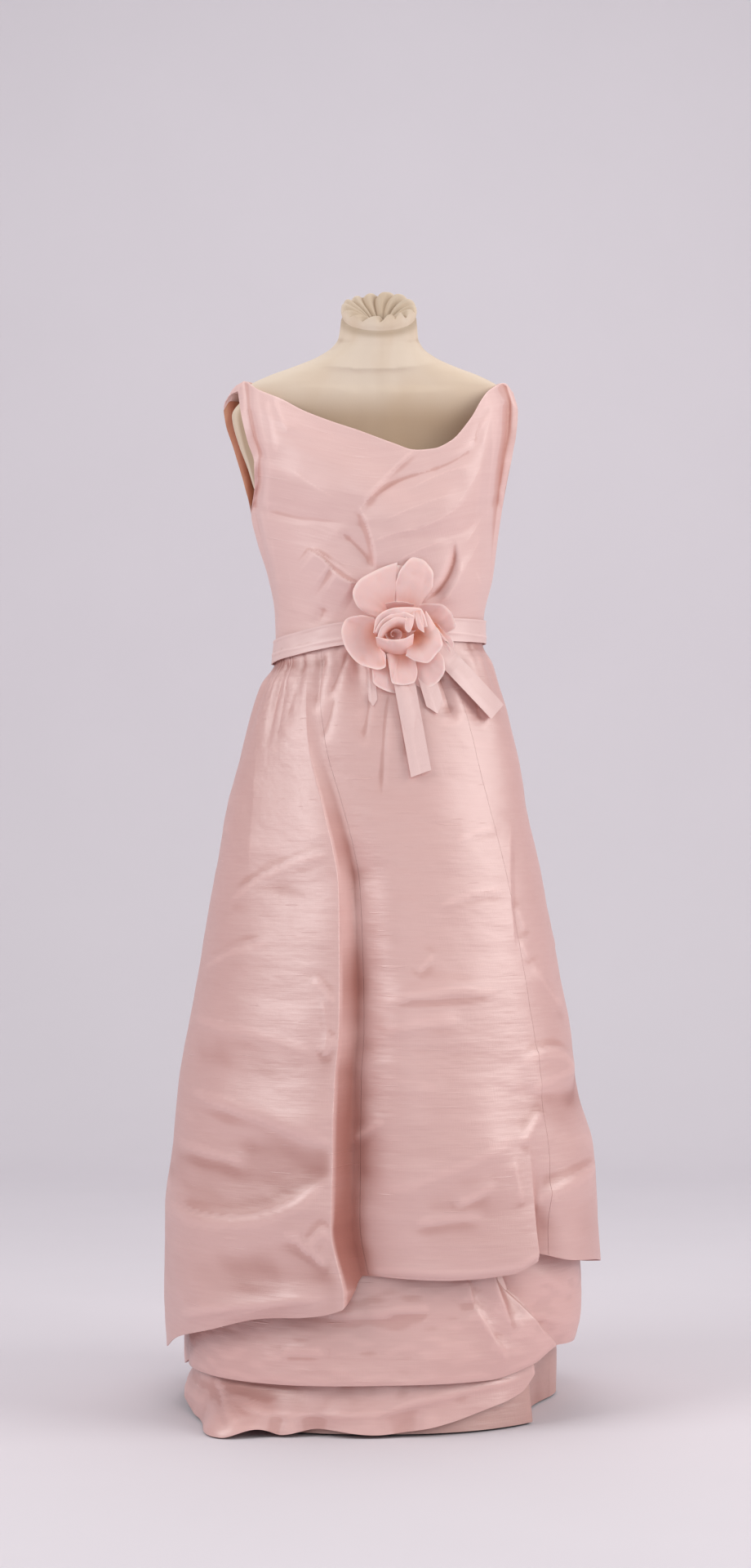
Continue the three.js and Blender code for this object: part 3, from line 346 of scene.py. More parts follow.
class Finish:
    """A material whose nodes are all added by one method."""

    def __init__(self, name):
        self.material = bpy.data.materials.new(name)
        self.material.use_nodes = True
        self.tree = self.material.node_tree
        self.shader = self.tree.nodes["Principled BSDF"]

    def node(self, kind, settings=None, inputs=None, output=0):
        """Adds a node, sets its settings, then gives its sockets their values or links."""
        node = self.tree.nodes.new(kind)
        for key, value in (settings or {}).items():
            setattr(node, key, value)
        for key, value in (inputs or {}).items():
            if isinstance(value, Wire):
                self.tree.links.new(value.socket, node.inputs[key])
            else:
                node.inputs[key].default_value = value
        return Wire(self, node.outputs[output])

    def mark(self, name):
        """The number that the mesh holds under this name."""
        return self.node("ShaderNodeAttribute", {"attribute_name": name}, output=2)

    def stretched(self, vector, scale):
        """A vector multiplied part by part."""
        return self.node("ShaderNodeVectorMath", {"operation": "MULTIPLY"}, {0: vector, 1: scale})

    def noise(self, vector, scale, detail=2, rough=0.5):
        """Smooth noise from 0 to 1 over a vector."""
        sockets = {"Vector": vector, "Scale": scale, "Detail": detail, "Roughness": rough}
        return self.node("ShaderNodeTexNoise", {}, sockets)

    def step(self, value, low, high):
        """0 under `low` and 1 over `high`, smoothly."""
        settings = {"interpolation_type": "SMOOTHSTEP"}
        return self.node("ShaderNodeMapRange", settings, {0: value, 1: low, 2: high})

    def blend(self, share, first, second):
        """A mix of two colours."""
        return self.node("ShaderNodeMix", {"data_type": "RGBA"}, {0: share, 6: first, 7: second}, output=2)

    def tint(self, share, colour, times):
        """A colour multiplied by another one, as far as the share says."""
        settings = {"data_type": "RGBA", "blend_type": "MULTIPLY"}
        return self.node("ShaderNodeMix", settings, {0: share, 6: colour, 7: (*times, 1)}, output=2)

    def bump(self, height, strength, distance):
        """A normal tilted by the slope of a height."""
        sockets = {"Strength": strength, "Distance": distance, "Height": height}
        return self.node("ShaderNodeBump", {}, sockets)

    def cloth_map(self):
        """The place on the cloth, in metres along its threads."""
        return self.node("ShaderNodeUVMap", {"uv_map": "cloth"})

    def wear(self, **sockets):
        """Sets the shader's sockets, underscores standing for spaces."""
        for key, value in sockets.items():
            socket = self.shader.inputs[key.replace("_", " ")]
            if isinstance(value, Wire):
                self.tree.links.new(value.socket, socket)
            else:
                socket.default_value = value


def shade(red, green, blue):
    """A colour given as on a screen, 0 to 255, turned to light: ((c + 0.055) / 1.055) to the power 2.4,
    or c / 12.92 for the darkest, with c the share of 255."""
    parts = [(c / 255 / 12.92 if c <= 10 else ((c / 255 + 0.055) / 1.055) ** 2.4) for c in (red, green, blue)]
    return (*parts, 1.0)


print("white is", shade(255, 255, 255)[:3])

# %% [markdown]
# ## Silk organza
# The cloth is woven from fine warp and uneven weft threads. The thick places of the weft show as short,
# pale, level streaks, which a stretched noise gives. Light that bounces between two folds comes back
# warmer, so valleys are a deeper pink than ridges. A faint sheen lies over all of it, and an index of
# refraction of 1.9 gives the satin face its gloss.


# %% Silk, ribbon, petal and lining finishes
SHEEN_TINT = (1.0, 0.8, 0.78, 1)


def silk(name, light, deep, slub=1.0, rough=0.42, satin=0.75):
    """Base colour = ridge colour or valley colour, streaked by the weft; roughness and a fine bump
    follow the same streaks."""
    cloth = Finish(name)
    threads = cloth.cloth_map()
    weft = cloth.noise(cloth.stretched(threads, (9, 230, 1)), 1, 5, 0.75)
    warp = cloth.noise(cloth.stretched(threads, (1500, 30, 1)), 1, 1)
    knots = cloth.step(cloth.noise(cloth.stretched(threads, (14, 210, 1)), 1, 1), 0.7, 0.78)
    cloudy = cloth.noise(threads, 5, 2)
    handled = cloth.noise(cloth.stretched(threads, (7, 22, 1)), 1, 3, 0.55)
    fine = cloth.mark("fine")
    # painted shade: valleys, the cloth beside the long fold and the lower skirt in patches take the deep
    # colour
    fold = cloth.step(cloth.mark("ridge") * 0.5 + cloth.mark("wide"), -1.05, -0.05)
    ground = cloth.blend(fold, deep, light)
    # painted shade along the valleys of the finest creases, and a painted highlight on their crests and along
    # the centre's hem
    ground = cloth.tint(cloth.step(fine, -0.15, -0.9) * 0.7, ground, (0.82, 0.68, 0.64))
    ground = cloth.tint(cloth.step(fine, 0.15, 1.0) * 0.8, ground, (1.1, 1.13, 1.13))
    streak = cloth.step(weft, 0.32, 0.68)
    ground = cloth.tint(slub - slub * streak, ground, (0.97, 0.94, 0.94))
    ground = cloth.tint(cloth.step(cloudy, 0.35, 0.75), ground, (1.04, 1.05, 1.06))
    ground = cloth.tint(knots * (0.6 * slub), ground, (1.12, 1.16, 1.16))
    height = weft * (0.3 * slub) + warp * 0.1 + knots * (0.35 * slub) + handled * 2.6
    cloth.wear(
        Base_Color=ground,
        Roughness=rough - 0.04 + 0.08 * weft + 0.35 * cloth.mark("shadow"),
        IOR=1.9,
        Specular_IOR_Level=satin,
        Sheen_Weight=0.05,
        Sheen_Roughness=0.35,
        Sheen_Tint=SHEEN_TINT,
        Normal=cloth.bump(height, 0.5, 0.0028),
    )
    return cloth.material


def petal_silk(name, light, deep, pale):
    """Thin starched silk: painted shade deepens the root and the folds, the blade is light, the cut edge
    pale, and a faint painted glow lies over all.
    """
    cloth = Finish(name)
    threads = cloth.cloth_map()
    fine = cloth.noise(cloth.stretched(threads, (240, 1300, 1)), 1, 2)
    cloudy = cloth.noise(threads, 45, 2)
    # painted shade: deeper towards the root, in the petal's folds and in its fine creases
    ground = cloth.blend(cloth.step(cloth.mark("tip") + 0.25 * cloudy, 0.1, 0.85), deep, light)
    ground = cloth.blend(cloth.step(cloth.mark("ridge"), -0.1, -0.9) * 0.55, ground, deep)
    ground = cloth.blend(cloth.step(cloth.mark("fine"), -0.2, -1.0) * 0.12, ground, deep)
    ground = cloth.blend(cloth.step(cloth.mark("edge"), 0.9, 1.0) * 0.8, ground, pale)
    cloth.wear(
        Base_Color=ground,
        Roughness=0.46 + 0.12 * fine,
        Sheen_Weight=0.15,
        Sheen_Roughness=0.4,
        Sheen_Tint=SHEEN_TINT,
        Subsurface_Weight=0.4,
        Subsurface_Radius=(0.008, 0.004, 0.003),
        # a faint painted glow in the petal's own colour
        Emission_Color=ground,
        Emission_Strength=0.07,
        Normal=cloth.bump(fine, 0.25, 0.0004),
    )
    return cloth.material


SILK = silk("silk", shade(222, 177, 170), shade(168, 96, 80))
SILK_BODICE = silk(
    "silk_bodice", shade(235, 197, 191), shade(208, 148, 134), slub=0.8, rough=0.46, satin=0.4
)
SILK_LOW = silk("silk_low", shade(222, 174, 167), shade(170, 100, 84))
SILK_UNDER = silk("silk_under", shade(198, 150, 140), shade(164, 106, 92))
RIBBON = silk("ribbon", shade(236, 202, 197), shade(210, 154, 141), slub=0.35, rough=0.46, satin=0.45)
LINING = silk("lining", shade(206, 150, 122), shade(178, 116, 92), slub=0.3, rough=0.6, satin=0.1)
PETAL = petal_silk("petal", shade(237, 201, 196), shade(218, 144, 118), shade(250, 226, 220))
print("finishes:", [m.name for m in bpy.data.materials])

# %% [markdown]
# ## Hanging a piece
# Every sheet is hung in the same way: it gets its finish, takes the place of its solid, and prints the
# size of the cut of cloth it was made from.

# %% Hanging a finished piece
# the least width of a cut in metres, and the least share of it that its sheet covers
NARROWEST, LEAST_SHARE = 0.0105, 0.301


def hang(piece, finish, stands_for, points, fills=None):
    """A blade that fills a known share of its cut's rectangle has the width area / (share x length)."""
    piece.data.materials.append(finish)
    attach(piece, "root")
    if stands_for:
        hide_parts(stands_for)
    width, length, area = measure(points)
    if fills:
        width = max(NARROWEST, area / (fills * length))
    triangles = len(piece.data.polygons) * 2
    print(f"{piece.name}: {width:.2f} x {length:.2f} m, {area:.3f} m2, {triangles} triangles")
    return piece


# %% [markdown]
# ## The skirt
# Three layers hang from the waist. The overskirt is gathered into the waist seam and has one long fold
# in front that hangs nearly plumb; two flounces are sewn to the underskirt below it. Each layer is an
# oval for every height, moved in and out by its folds. Satin shows the shallowest dent as a soft bright
# streak, so each crease is listed in a table.

# %% Sizes of the overskirt
# thickness of the cloth, and the skirt's mean radius, which turns angles into lengths
CLOTH, SKIRT_RADIUS = 1.2, 275
# angle, height of the waist seam
WAIST = [
    (-180, 1058),
    (-90, 1050),
    (-58, 1058),
    (-40, 1066),
    (-22, 1073),
    (0, 1077),
    (40, 1079),
    (90, 1079),
    (180, 1058),
]
# height, left, right, front, back
OVERSKIRT = [
    (60, 293, 318, 284, 318),
    (196, 298, 315, 281, 308),
    (275, 297, 309, 276, 298),
    (350, 287, 305, 270, 288),
    (424, 280, 286, 262, 278),
    (540, 260, 269, 244, 258),
    (671, 238, 245, 216, 232),
    (800, 217, 219, 186, 202),
    (883, 197, 203, 165, 178),
    (965, 176, 186, 144, 152),
    (1006, 162, 173, 131, 134),
    (1036, 142.4, 164, 119, 110),
    (1062, 141, 150, 113, 103.5),
    (1090, 141, 149.5, 112, 103),
]
# angle, height
OVERSKIRT_HEM = [
    (-180, 122),
    (-135, 104),
    (-86, 80),
    (-63, 112),
    (-48, 131),
    (-30, 156),
    (-16, 163),
    (-8.6, 173),
    (-7.4, 180),
    (-4.6, 206),
    (-3, 212),
    (7, 210),
    (22, 207),
    (37, 211),
    (44, 224),
    (47, 233),
    (58, 220),
    (72, 211),
    (90, 195),
    (135, 160),
    (180, 122),
]
FOLD_AT, FOLD_HILL, FOLD_TOP = -8, 45, 1044
# height, angle of the long fold
FOLD_PATH = [
    (196, -8),
    (284, -11.5),
    (474, -11.5),
    (532, -10.8),
    (638, -11.7),
    (730, -13.5),
    (780, -16.5),
    (835, -22),
    (907, -31),
    (FOLD_TOP, -44),
]
# rise, step, recover, power, ridge, valley, full, fade
FRONT_STEP = (20, 4.6, 10, 2, 20, 25, 560, 1046)
SIDE_AT, SIDE_STEP = 45, (8, 3.6, 8, 2, 5, 18, 225, 400)
# angle, width, depth, reach
GATHERS = [
    (-68, 5, 4, 150),
    (-40, 4.5, 5, 170),
    (14, 4, 6, 120),
    (27, 4.5, 4, 140),
    (41, 5, 3, 130),
    (57, 5.5, 8, 190),
    (76, 5, 4, 150),
]
GATHERS += [((96 + 16 * n + 180) % 360 - 180, 5, 5, 170) for n in range(10)]
# the same for the narrow ones
TUCKS = [
    (-82, 2.2, 1.6, 90),
    (-59, 2.0, 2.2, 110),
    (-52, 1.8, 1.6, 80),
    (-33, 2.0, 2.0, 95),
    (-27, 1.6, 1.4, 70),
    (-13, 2.2, 2.2, 120),
    (-3, 1.8, 1.4, 80),
    (6, 2.0, 1.8, 100),
    (20, 1.6, 1.8, 90),
    (33, 1.8, 1.5, 85),
    (48, 1.8, 2.0, 110),
    (66, 2.0, 1.8, 90),
    (85, 2.2, 1.6, 100),
]
TUCKS += [((104 + 17 * n + 180) % 360 - 180, 2.2, 2.4, 80 + 13 * (n % 4)) for n in range(9)]
# angle, width, out, top
FLUTES = [
    (-128, 15, 13, 820),
    (-104, 10, -9, 700),
    (106, 10, -9, 700),
    (130, 15, 13, 820),
    (155, 11, -11, 760),
    (180, 13, 12, 860),
    (-155, 11, -11, 760),
    (-180, 13, 12, 860),
]
# x1, z1, x2, z2, bow, out, soft, sharp: creases of the front, as seen from the front
FRONT_CREASES = [
    (-163, 984, -174, 743, 0, 1.6, -18, 6),
    (-84, 608, -56, 576, 0, 2, 11, 4),
    (-76, 580, -70, 507, -6, 1.5, -14, 4),
    (-70, 507, -54, 528, 0, 2.5, -14, 5),
    (-244, 447, -57, 389, -5, 8, -50, 18),
    (-270, 287, -75, 333, 24, 8.5, 46, 9),
    (-258, 146, -78, 188, -5, 11, -42, 14),
    (-254, 542, -79, 510, -6, 4, -46, 22),
    (-198, 709, -72, 774, -9, 2.2, 13, 3.5),
    (-232, 618, -144, 656, -4, 1.6, 14, 5),
    (-264, 373, -176, 358, -3, 2.2, -26, 12),
    (-118, 272, -68, 232, -3, 3, -14, 6),
    (-96, 249, -68, 282, 0, 3, 14, 5),
    (-187, 154, -77, 187, -3, 2.5, -16, 6),
    (19, 576, 155, 586, -3, 3.4, -16, 4),
    (10, 537, 108, 547, -3, 2.2, -22, 10),
    (56, 614, 78, 635, 0, 1.2, -9, 4),
    (87, 701, 168, 722, -3, 1.6, -14, 5),
    (110, 788, 167, 806, -3, 1.4, -12, 5),
    (185, 810, 188, 648, 4, 2.8, 20, 4),
    (190, 697, 203, 665, 0, 1.2, -8, 4),
    (194, 653, 207, 626, 0, 1.2, -8, 4),
    (201, 498, 272, 453, -26, 3.5, 20, 7),
    (211, 621, 259, 555, 3, 2.5, -20, 8),
    (12, 327, 185, 395, 8, 6, -60, 38),
    (53, 282, 140, 289, -3, 2, -16, 5),
    (107, 306, 158, 332, 0, 1.8, -16, 6),
    (193, 384, 220, 422, 0, 3, 12, 5),
    (183, 363, 196, 308, 0, 2.5, 12, 5),
    (219, 306, 302, 337, -4, 7, 42, 10),
    (207, 453, 278, 474, -3, 4.5, -38, 18),
    (-34, 491, 86, 463, 4, 3, -46, 26),
    (-34, 389, 10, 419, 0, 2.2, -16, 8),
    (-70, 1046, -83, 971, 2, -5, 10, 6),
    (-39, 1051, -64, 987, -2, -4, 9, 5),
    (-100, 1033, -124, 951, 2, -3.4, 13, 7),
    (-125, 1015, -138, 922, 0, -3, 12, 6),
    (-57, 987, -72, 927, -2, -2.6, 9, 5),
    (-7, 989, -17, 927, 0, -2.4, 8, 5),
    (17, 989, 8, 857, 2, -2.6, 9, 5),
    (44, 978, 40, 899, 0, -2, 8, 5),
    (89, 1021, 107, 958, -2, -8, 13, 6),
    (131, 1006, 147, 949, 0, -2.2, 8, 4),
]
# the same for the sides and the back, with the length round the figure in place of x
BACK_CREASES = [
    (430, 640, 540, 655, 5, 2.2, -19, 4),
    (470, 420, 640, 385, -10, 3.9, 44, 10),
    (520, 300, 690, 330, 14, 4.4, -39, 9),
    (700, 520, 800, 505, -6, 2.2, -22, 4),
    (420, 330, 500, 290, 4, 2.8, -28, 5),
    (-470, 560, -560, 585, 5, 2.2, 19, 4),
    (-430, 380, -620, 420, -9, 4.4, 42, 10),
    (-640, 300, -760, 270, 8, 3.3, -33, 7),
    (-500, 250, -600, 235, -6, 2.8, -28, 6),
    (-700, 470, -790, 500, 6, 2.2, -22, 4),
]


# %% The overskirt's surface
def step_fold(fold, past, z):
    """The cloth swells to a ridge, drops in over `step` degrees to a valley as 1 - (1 - t)^2, which
    leaves a pressed edge on the ridge, and recovers."""
    rise, step, recover, power, high, deep, full, fade = fold
    drop = 1 - (1 - np.clip(past / step, 0, 1)) ** 2
    crest = high * bell(np.minimum(past, 0), rise) * (1 - drop)
    valley = deep * drop * bell(np.maximum(past - step, 0), recover, power)
    return ramp(z, fade, full) * (crest - valley)


def away(angle, place):
    """The shortest way round from one angle to another."""
    return np.abs((angle - place + 180) % 360 - 180)


def flutes(rows, angle, z, low):
    """Broad waves: each is a bell of the angle that grows from its top down to the hem."""
    return sum(out * bell(angle - place, width) * ramp(z, top, low) for place, width, out, top in rows)


def gathers(rows, angle, below):
    """Troughs under a seam: each is a bell of the angle that starts and dies away below the seam."""
    total = 0
    for place, width, depth, reach in rows:
        start = ramp(below, 3 * width, 9 * width)
        total = total + depth * bell(away(angle, place), width) * start * ramp(below, reach, 50)
    return total


def on_front(points):
    """1 on the front of the figure and 0 behind its middle, by a smooth step of the depth."""
    return ramp(points[..., 1], 10, -60)


def overskirt(u, v):
    """An oval per height, at the cloth's own angle carried round with the long fold, plus folds,
    flutes and creases and less the gathers; v runs from the hem to the waist seam."""
    hem = between(OVERSKIRT_HEM, u)
    carried = bell(u - FOLD_AT, FOLD_HILL)
    top = between(WAIST, u + (between(FOLD_PATH, FOLD_TOP) - FOLD_AT) * carried) - 0.15
    z = lerp(hem, top, v)
    angle = u + (between(FOLD_PATH, z) - FOLD_AT) * carried
    fold = step_fold(FRONT_STEP, u - FOLD_AT, z) + step_fold(SIDE_STEP, u - SIDE_AT, z)
    below = top - z
    radius = oval_radius(OVERSKIRT, z, angle) + fold + flutes(FLUTES, u, z, 120)
    radius = radius - gathers(GATHERS, u, below) - 0.6 * gathers(TUCKS, u, below)
    flat = around(radius, angle, z)
    length = np.radians(angle) * SKIRT_RADIUS
    fine = creases(FRONT_CREASES, flat[..., 0], z) * on_front(flat) * ramp(below, 3, 18)
    fine = fine + creases(BACK_CREASES, length, z)
    loose = ramp(below, 30, 200)
    fine = fine + loose * (0.8 * ripple(length, z * 1.5, 3, 230) + 0.12 * ripple(length, z * 1.6, 8, 60))
    hem_roll = 4.5 * bell(z - hem, 6) * ramp(u, -4, 6) * ramp(u, 52, 42)
    return around(radius + fine - hem_roll, angle, z)


# %% Hang the overskirt
# name, first angle, last angle, columns
PANELS = [
    ("overskirt_back_left", -180, -92, 78),
    ("overskirt_left", -92, -1.5, 168),
    ("overskirt_centre", -1.5, 52, 116),
    ("overskirt_right", 52, 92, 68),
    ("overskirt_back_right", 92, 180, 78),
]
rows = stations(0, 1, 180, [(0, 0.02, 3), (0.95, 0.05, 0.6)])
columns = [
    stations(start + 0.04, end - 0.04, count, [(FOLD_AT + 1, 3.5, 4), (SIDE_AT + 1, 4, 1.5)])
    for _, start, end, count in PANELS
]
first = np.cumsum([0, *map(len, columns)])
u, v = np.meshgrid(np.concatenate(columns), rows, indexing="ij")
cloth = overskirt(u, v)
# the long fold shades the cloth beside it, further out lower down
past, z = u - FOLD_AT, cloth[..., 2]
uneven = 1 + 0.3 * ripple(z, z * 0.3, 71, 170)
beside = ramp(past, 0, 0.8) * ramp(past, lerp(7, 11, ramp(z, 900, 600)), 3) * ramp(z, 960, 760) * uneven
# light that bounces up between the layers makes the lower cloth deeper in patches
glow = ramp(z, 760, 330) * (1 + 0.35 * ripple(np.radians(u) * SKIRT_RADIUS, z * 1.6, 91, 320))
# a painted highlight along the turned-up hem of the centre
hem_light = 0.8 * bell(z - between(OVERSKIRT_HEM, u) - 10, 6) * ramp(u, -3, 5) * ramp(u, 51, 42)
marks = {
    "ridge": ridge(cloth),
    "fine": fine_ridge(cloth) + hem_light,
    "wide": hollow(cloth, 9, 14) - 0.55 * beside - 0.25 * glow,
    "shadow": beside,
}
for n, (name, *_) in enumerate(PANELS):
    part = slice(first[n], first[n + 1])
    points = cloth[part]
    threads = np.stack([np.radians(u[part]) * (SKIRT_RADIUS * MM), points[..., 2] * MM], axis=-1)
    own_marks = {key: mark[part] for key, mark in marks.items()}
    piece = cloth_sheet(name + "_silk", points, CLOTH, threads, **own_marks)
    hang(piece, SILK, name, points)

# %% [markdown]
# ## Underskirt and flounces
# The underskirt hangs straight from the waist to the floor and carries two flounces. They are laid out
# from the underskirt's own radius, so at their sewn top they lie close on it.

# %% Sizes of the underskirt and flounces
FLOUNCE_RADIUS = 265
# height, left, right, front, back
UNDERSKIRT = [
    (4, 252, 262, 266, 264),
    (60, 247, 263, 250, 260),
    (110, 243, 254, 238, 256),
    (210, 238, 246, 226, 250),
    (370, 228, 236, 210, 236),
    (740, 195, 198, 165, 182),
    (900, 172, 178, 139, 150),
    (1000, 150, 160, 119, 120),
    (1034, 138.4, 150, 108, 100),
    (1090, 138.4, 147, 108, 100),
]
# rise, step, recover, power, ridge, valley, full, fade
DEEP_AT, DEEP_STEP = 50, (9, 7, 35, 4, 2, 42, 50, 250)
FREE, MIDDLE_TOP, LOWER_TOP = 60, 372, 218
# height, left, right, front, back
MIDDLE = [
    (30, 263, 262, 276, 288),
    (62, 263, 268, 276, 287),
    (90, 263, 280, 272, 284),
    (130, 262, 288, 264, 280),
    (205, 257, 286, 248, 272),
    (300, 244, 262, 232, 256),
    (MIDDLE_TOP, 234, 240, 216, 242),
]
# angle, height
MIDDLE_HEM = [
    (-180, 62),
    (-125, 52),
    (-104, 40),
    (-90, 56),
    (-60, 62),
    (0, 69),
    (32, 70),
    (46, 83),
    (57, 103),
    (62, 98),
    (80, 93),
    (94, 86),
    (130, 72),
    (180, 62),
]
SLIT = (6, 4.2, 4.5, 2, 4, 19, 205, 125)
FLAP_AT, FLAP_HILL, FLAP = 57, 22, (10, 3, 9, 2, 6, 17, 180, 350)
# height, angle
SLIT_PATH = [(125, 40), (205, 35.5)]
FLAP_PATH = [(90, 57), (103, 56), (130, 50), (162, 44.5), (210, 38.5), (275, 46), (320, 57)]
# angle, width, out, top
MIDDLE_FLUTES = [
    (-103, 8, 14, 260),
    (-20, 12, 4, 300),
    (135, 14, 10, 320),
    (170, 12, -9, 300),
    (-150, 14, 10, 320),
]
# height, left, right, front, back
LOWER = [
    (2, 269, 272, 284, 278),
    (24, 268, 272, 276, 276),
    (48, 256, 272, 268, 272),
    (75, 253, 271, 260, 268),
    (140, 247, 261, 245, 262),
    (LOWER_TOP, 241, 249, 230, 254),
]
# angle, height
LOWER_HEM = [
    (-180, 14),
    (-120, 12),
    (-90, 16),
    (-60, 5),
    (-36, 2),
    (-30, 12),
    (-25, 4),
    (-16, 11),
    (0, 5),
    (10, 9),
    (22, 20),
    (32, 33),
    (44, 48),
    (56, 88),
    (80, 96),
    (110, 60),
    (150, 22),
    (180, 14),
]
# angle, width, out, top
LOWER_FLUTES = [
    (-37, 12, 60, 62),
    (-27, 3.5, -14, 50),
    (-17, 5, -9, 50),
    (8, 6, -6, 50),
    (150, 12, 10, 160),
    (-140, 12, 10, 160),
]
# x1, z1, x2, z2, bow, out, soft, sharp
MIDDLE_CREASES = [
    (-103, 175, -23, 158, 4, 5.5, -12, 4),
    (-23, 158, 68, 166, -2, 4.5, -10, 4),
    (-125, 109, -68, 108, -3, 2.5, -9, 4),
    (123, 205, 128, 172, 0, 4, 12, 3),
    (128, 172, 174, 100, 0, 5, 14, 4),
    (195, 146, 253, 130, -3, 3, -9, 4),
    (207, 199, 265, 171, -4, 3, -10, 5),
]
LOWER_CREASES = [
    (-218, 54, -187, 15, -3, 5, -12, 5),
    (-198, 44, -142, 30, -3, 4, -10, 5),
    (-175, 34, 10, 33, 4, 4, -14, 7),
    (10, 33, 195, 66, -5, 4, -14, 7),
]


# %% Surfaces of the underskirt and flounces
def underskirt_radius(angle, z):
    """The underskirt's oval with its deep step; within 14 mm of the waist it joins the overskirt."""
    sewn = oval_radius(OVERSKIRT, z, angle) - CLOTH - 0.75
    free = oval_radius(UNDERSKIRT, z, angle) + step_fold(DEEP_STEP, angle - DEEP_AT, z)
    return lerp(sewn, free, ramp(between(WAIST, angle) - z, 2, 14))


def underskirt(u, v):
    """v runs from the floor to the waist."""
    z = lerp(3, between(WAIST, u) - 1.5, v)
    return around(underskirt_radius(u, z), u, z)


def flounce(free, angle, z, top):
    """A flounce's radius: close on the underskirt at its top, and `free` once it has left it."""
    return lerp(underskirt_radius(angle, z) + CLOTH + 0.3, free, ramp(z, top - 2, top - FREE))


def middle_flounce(u, v):
    """The oval of the middle flounce with its slit, its slanting flap, flutes and creases."""
    hem = between(MIDDLE_HEM, u)
    z = lerp(hem, MIDDLE_TOP, v)
    angle = u + (between(FLAP_PATH, z) - FLAP_AT) * bell(u - FLAP_AT, FLAP_HILL)
    slit = step_fold(SLIT, angle - between(SLIT_PATH, z), z) * ramp(z, 320, 235)
    free = oval_radius(MIDDLE, z, angle) + slit + step_fold(FLAP, u - FLAP_AT, z)
    free = free + flutes(MIDDLE_FLUTES, u, z, 60)
    flat = around(free, angle, z)
    length = np.radians(angle) * FLOUNCE_RADIUS
    free = free + creases(MIDDLE_CREASES, flat[..., 0], z) * on_front(flat)
    free = free + 0.6 * ripple(length, z * 1.7, 21, 130) + 0.15 * ripple(length, z * 1.7, 5, 45)
    return around(flounce(free, angle, z, MIDDLE_TOP) - 1 * bell(z - hem, 5), angle, z)


def lower_flounce(u, v):
    """The oval of the lowest flounce, whose hem drags out over the floor at the left."""
    hem = between(LOWER_HEM, u)
    z = lerp(hem, LOWER_TOP, v)
    free = oval_radius(LOWER, z, u) + step_fold(DEEP_STEP, u - DEEP_AT, z) + flutes(LOWER_FLUTES, u, z, 4)
    flat = around(free, u, z)
    length = np.radians(u) * FLOUNCE_RADIUS
    free = free + creases(LOWER_CREASES, flat[..., 0], z) * on_front(flat)
    uneven = 0.8 * ripple(length, z * 1.7, 31, 110) + 0.2 * ripple(length, z, 6, 45)
    free = free + ramp(z, 200, 120) * uneven
    return around(flounce(free, u, z, LOWER_TOP), u, z)


# %% Hang the underskirt and flounces
# name, surface, finish, slot, rows, where rows are denser, what it lies on
LAYERS = [
    ("underskirt", underskirt, SILK_UNDER, "underskirt", 56, [(0, 0.05, 1)], "form_cover"),
    ("middle_flounce", middle_flounce, SILK_LOW, "silk", 52, [(0, 0.05, 1)], "underskirt_front_silk"),
    ("lower_flounce", lower_flounce, SILK_LOW, "silk", 46, [(0, 0.15, 2)], "underskirt_front_silk"),
]
# name, first angle, last angle, columns
SIDES = [("front", -90, 90, 200), ("back_right", 90, 180, 66), ("back_left", -180, -90, 66)]
for layer, surface, finish, slot, up, dense, under in LAYERS:
    for side, start, end, count in SIDES:
        if layer == "underskirt":
            count = count // 2
        spots = [(-30, 10, 1), (DEEP_AT + 2, 10, 1.5), (38, 5, 1)]
        columns = stations(start + 0.04, end - 0.04, count, spots)
        u, v = np.meshgrid(columns, stations(0, 1, up, dense), indexing="ij")
        points = surface(u, v)
        threads = np.stack([np.radians(u) * (FLOUNCE_RADIUS * MM), points[..., 2] * MM], axis=-1)
        name = f"{layer}_{side}"
        marks = {"ridge": 0.25 * ridge(points), "wide": hollow(points, 9, 70)}
        piece = cloth_sheet(name + "_silk", points, CLOTH, threads, **marks)
        hang(piece, finish, name, points)

# %% [markdown]
# ## The bodice
# The front is one piece draped on the bias: it falls from both shoulders into a low cowl, is folded over
# itself in the middle and pleated into the waist behind the rose. Its sheet is stretched between four
# edges, swelled over the bust, and then creased from a table.

# %% Edges of the bodice
# at, x, y, z
FRONT_NECKLINE = [
    (0, -195, 0, 1419),
    (0.04, -186, 0, 1433),
    (0.08, -167, -32, 1418),
    (0.13, -134, -58, 1402),
    (0.21, -101, -75, 1383),
    (0.3, -69, -87, 1369),
    (0.42, -23, -100, 1352),
    (0.54, 23, -110, 1334),
    (0.64, 55, -114, 1324),
    (0.72, 79, -113, 1326),
    (0.8, 104, -106, 1338),
    (0.87, 131, -88, 1370),
    (0.93, 155, -54, 1410),
    (0.96, 180, 0, 1430),
    (1, 193, 0, 1417),
]
# the side seams, up to the armholes
LEFT_SEAM = [
    (0, -141, 0, 1050),
    (0.16, -143, 0, 1107),
    (0.3, -152, 0, 1156),
    (0.45, -168, 0, 1208),
    (0.56, -176, 0, 1246),
]
RIGHT_SEAM = [
    (0, 149.5, 0, 1079),
    (0.1, 152.5, 0, 1107),
    (0.24, 164, 0, 1155),
    (0.41, 171, 0, 1208),
    (0.54, 177, 0, 1250),
]
LEFT_FRONT_EDGE = LEFT_SEAM + [
    (0.6, -174, -14, 1260),
    (0.66, -170, -38, 1283),
    (0.74, -170, -52, 1312),
    (0.82, -179, -51, 1342),
    (0.91, -188, -38, 1378),
    (1, -195, 0, 1419),
]
RIGHT_FRONT_EDGE = RIGHT_SEAM + [
    (0.6, 180, -10, 1272),
    (0.72, 187, -20, 1312),
    (0.84, 196, -22, 1354),
    (0.94, 199, -14, 1390),
    (1, 193, 0, 1417),
]
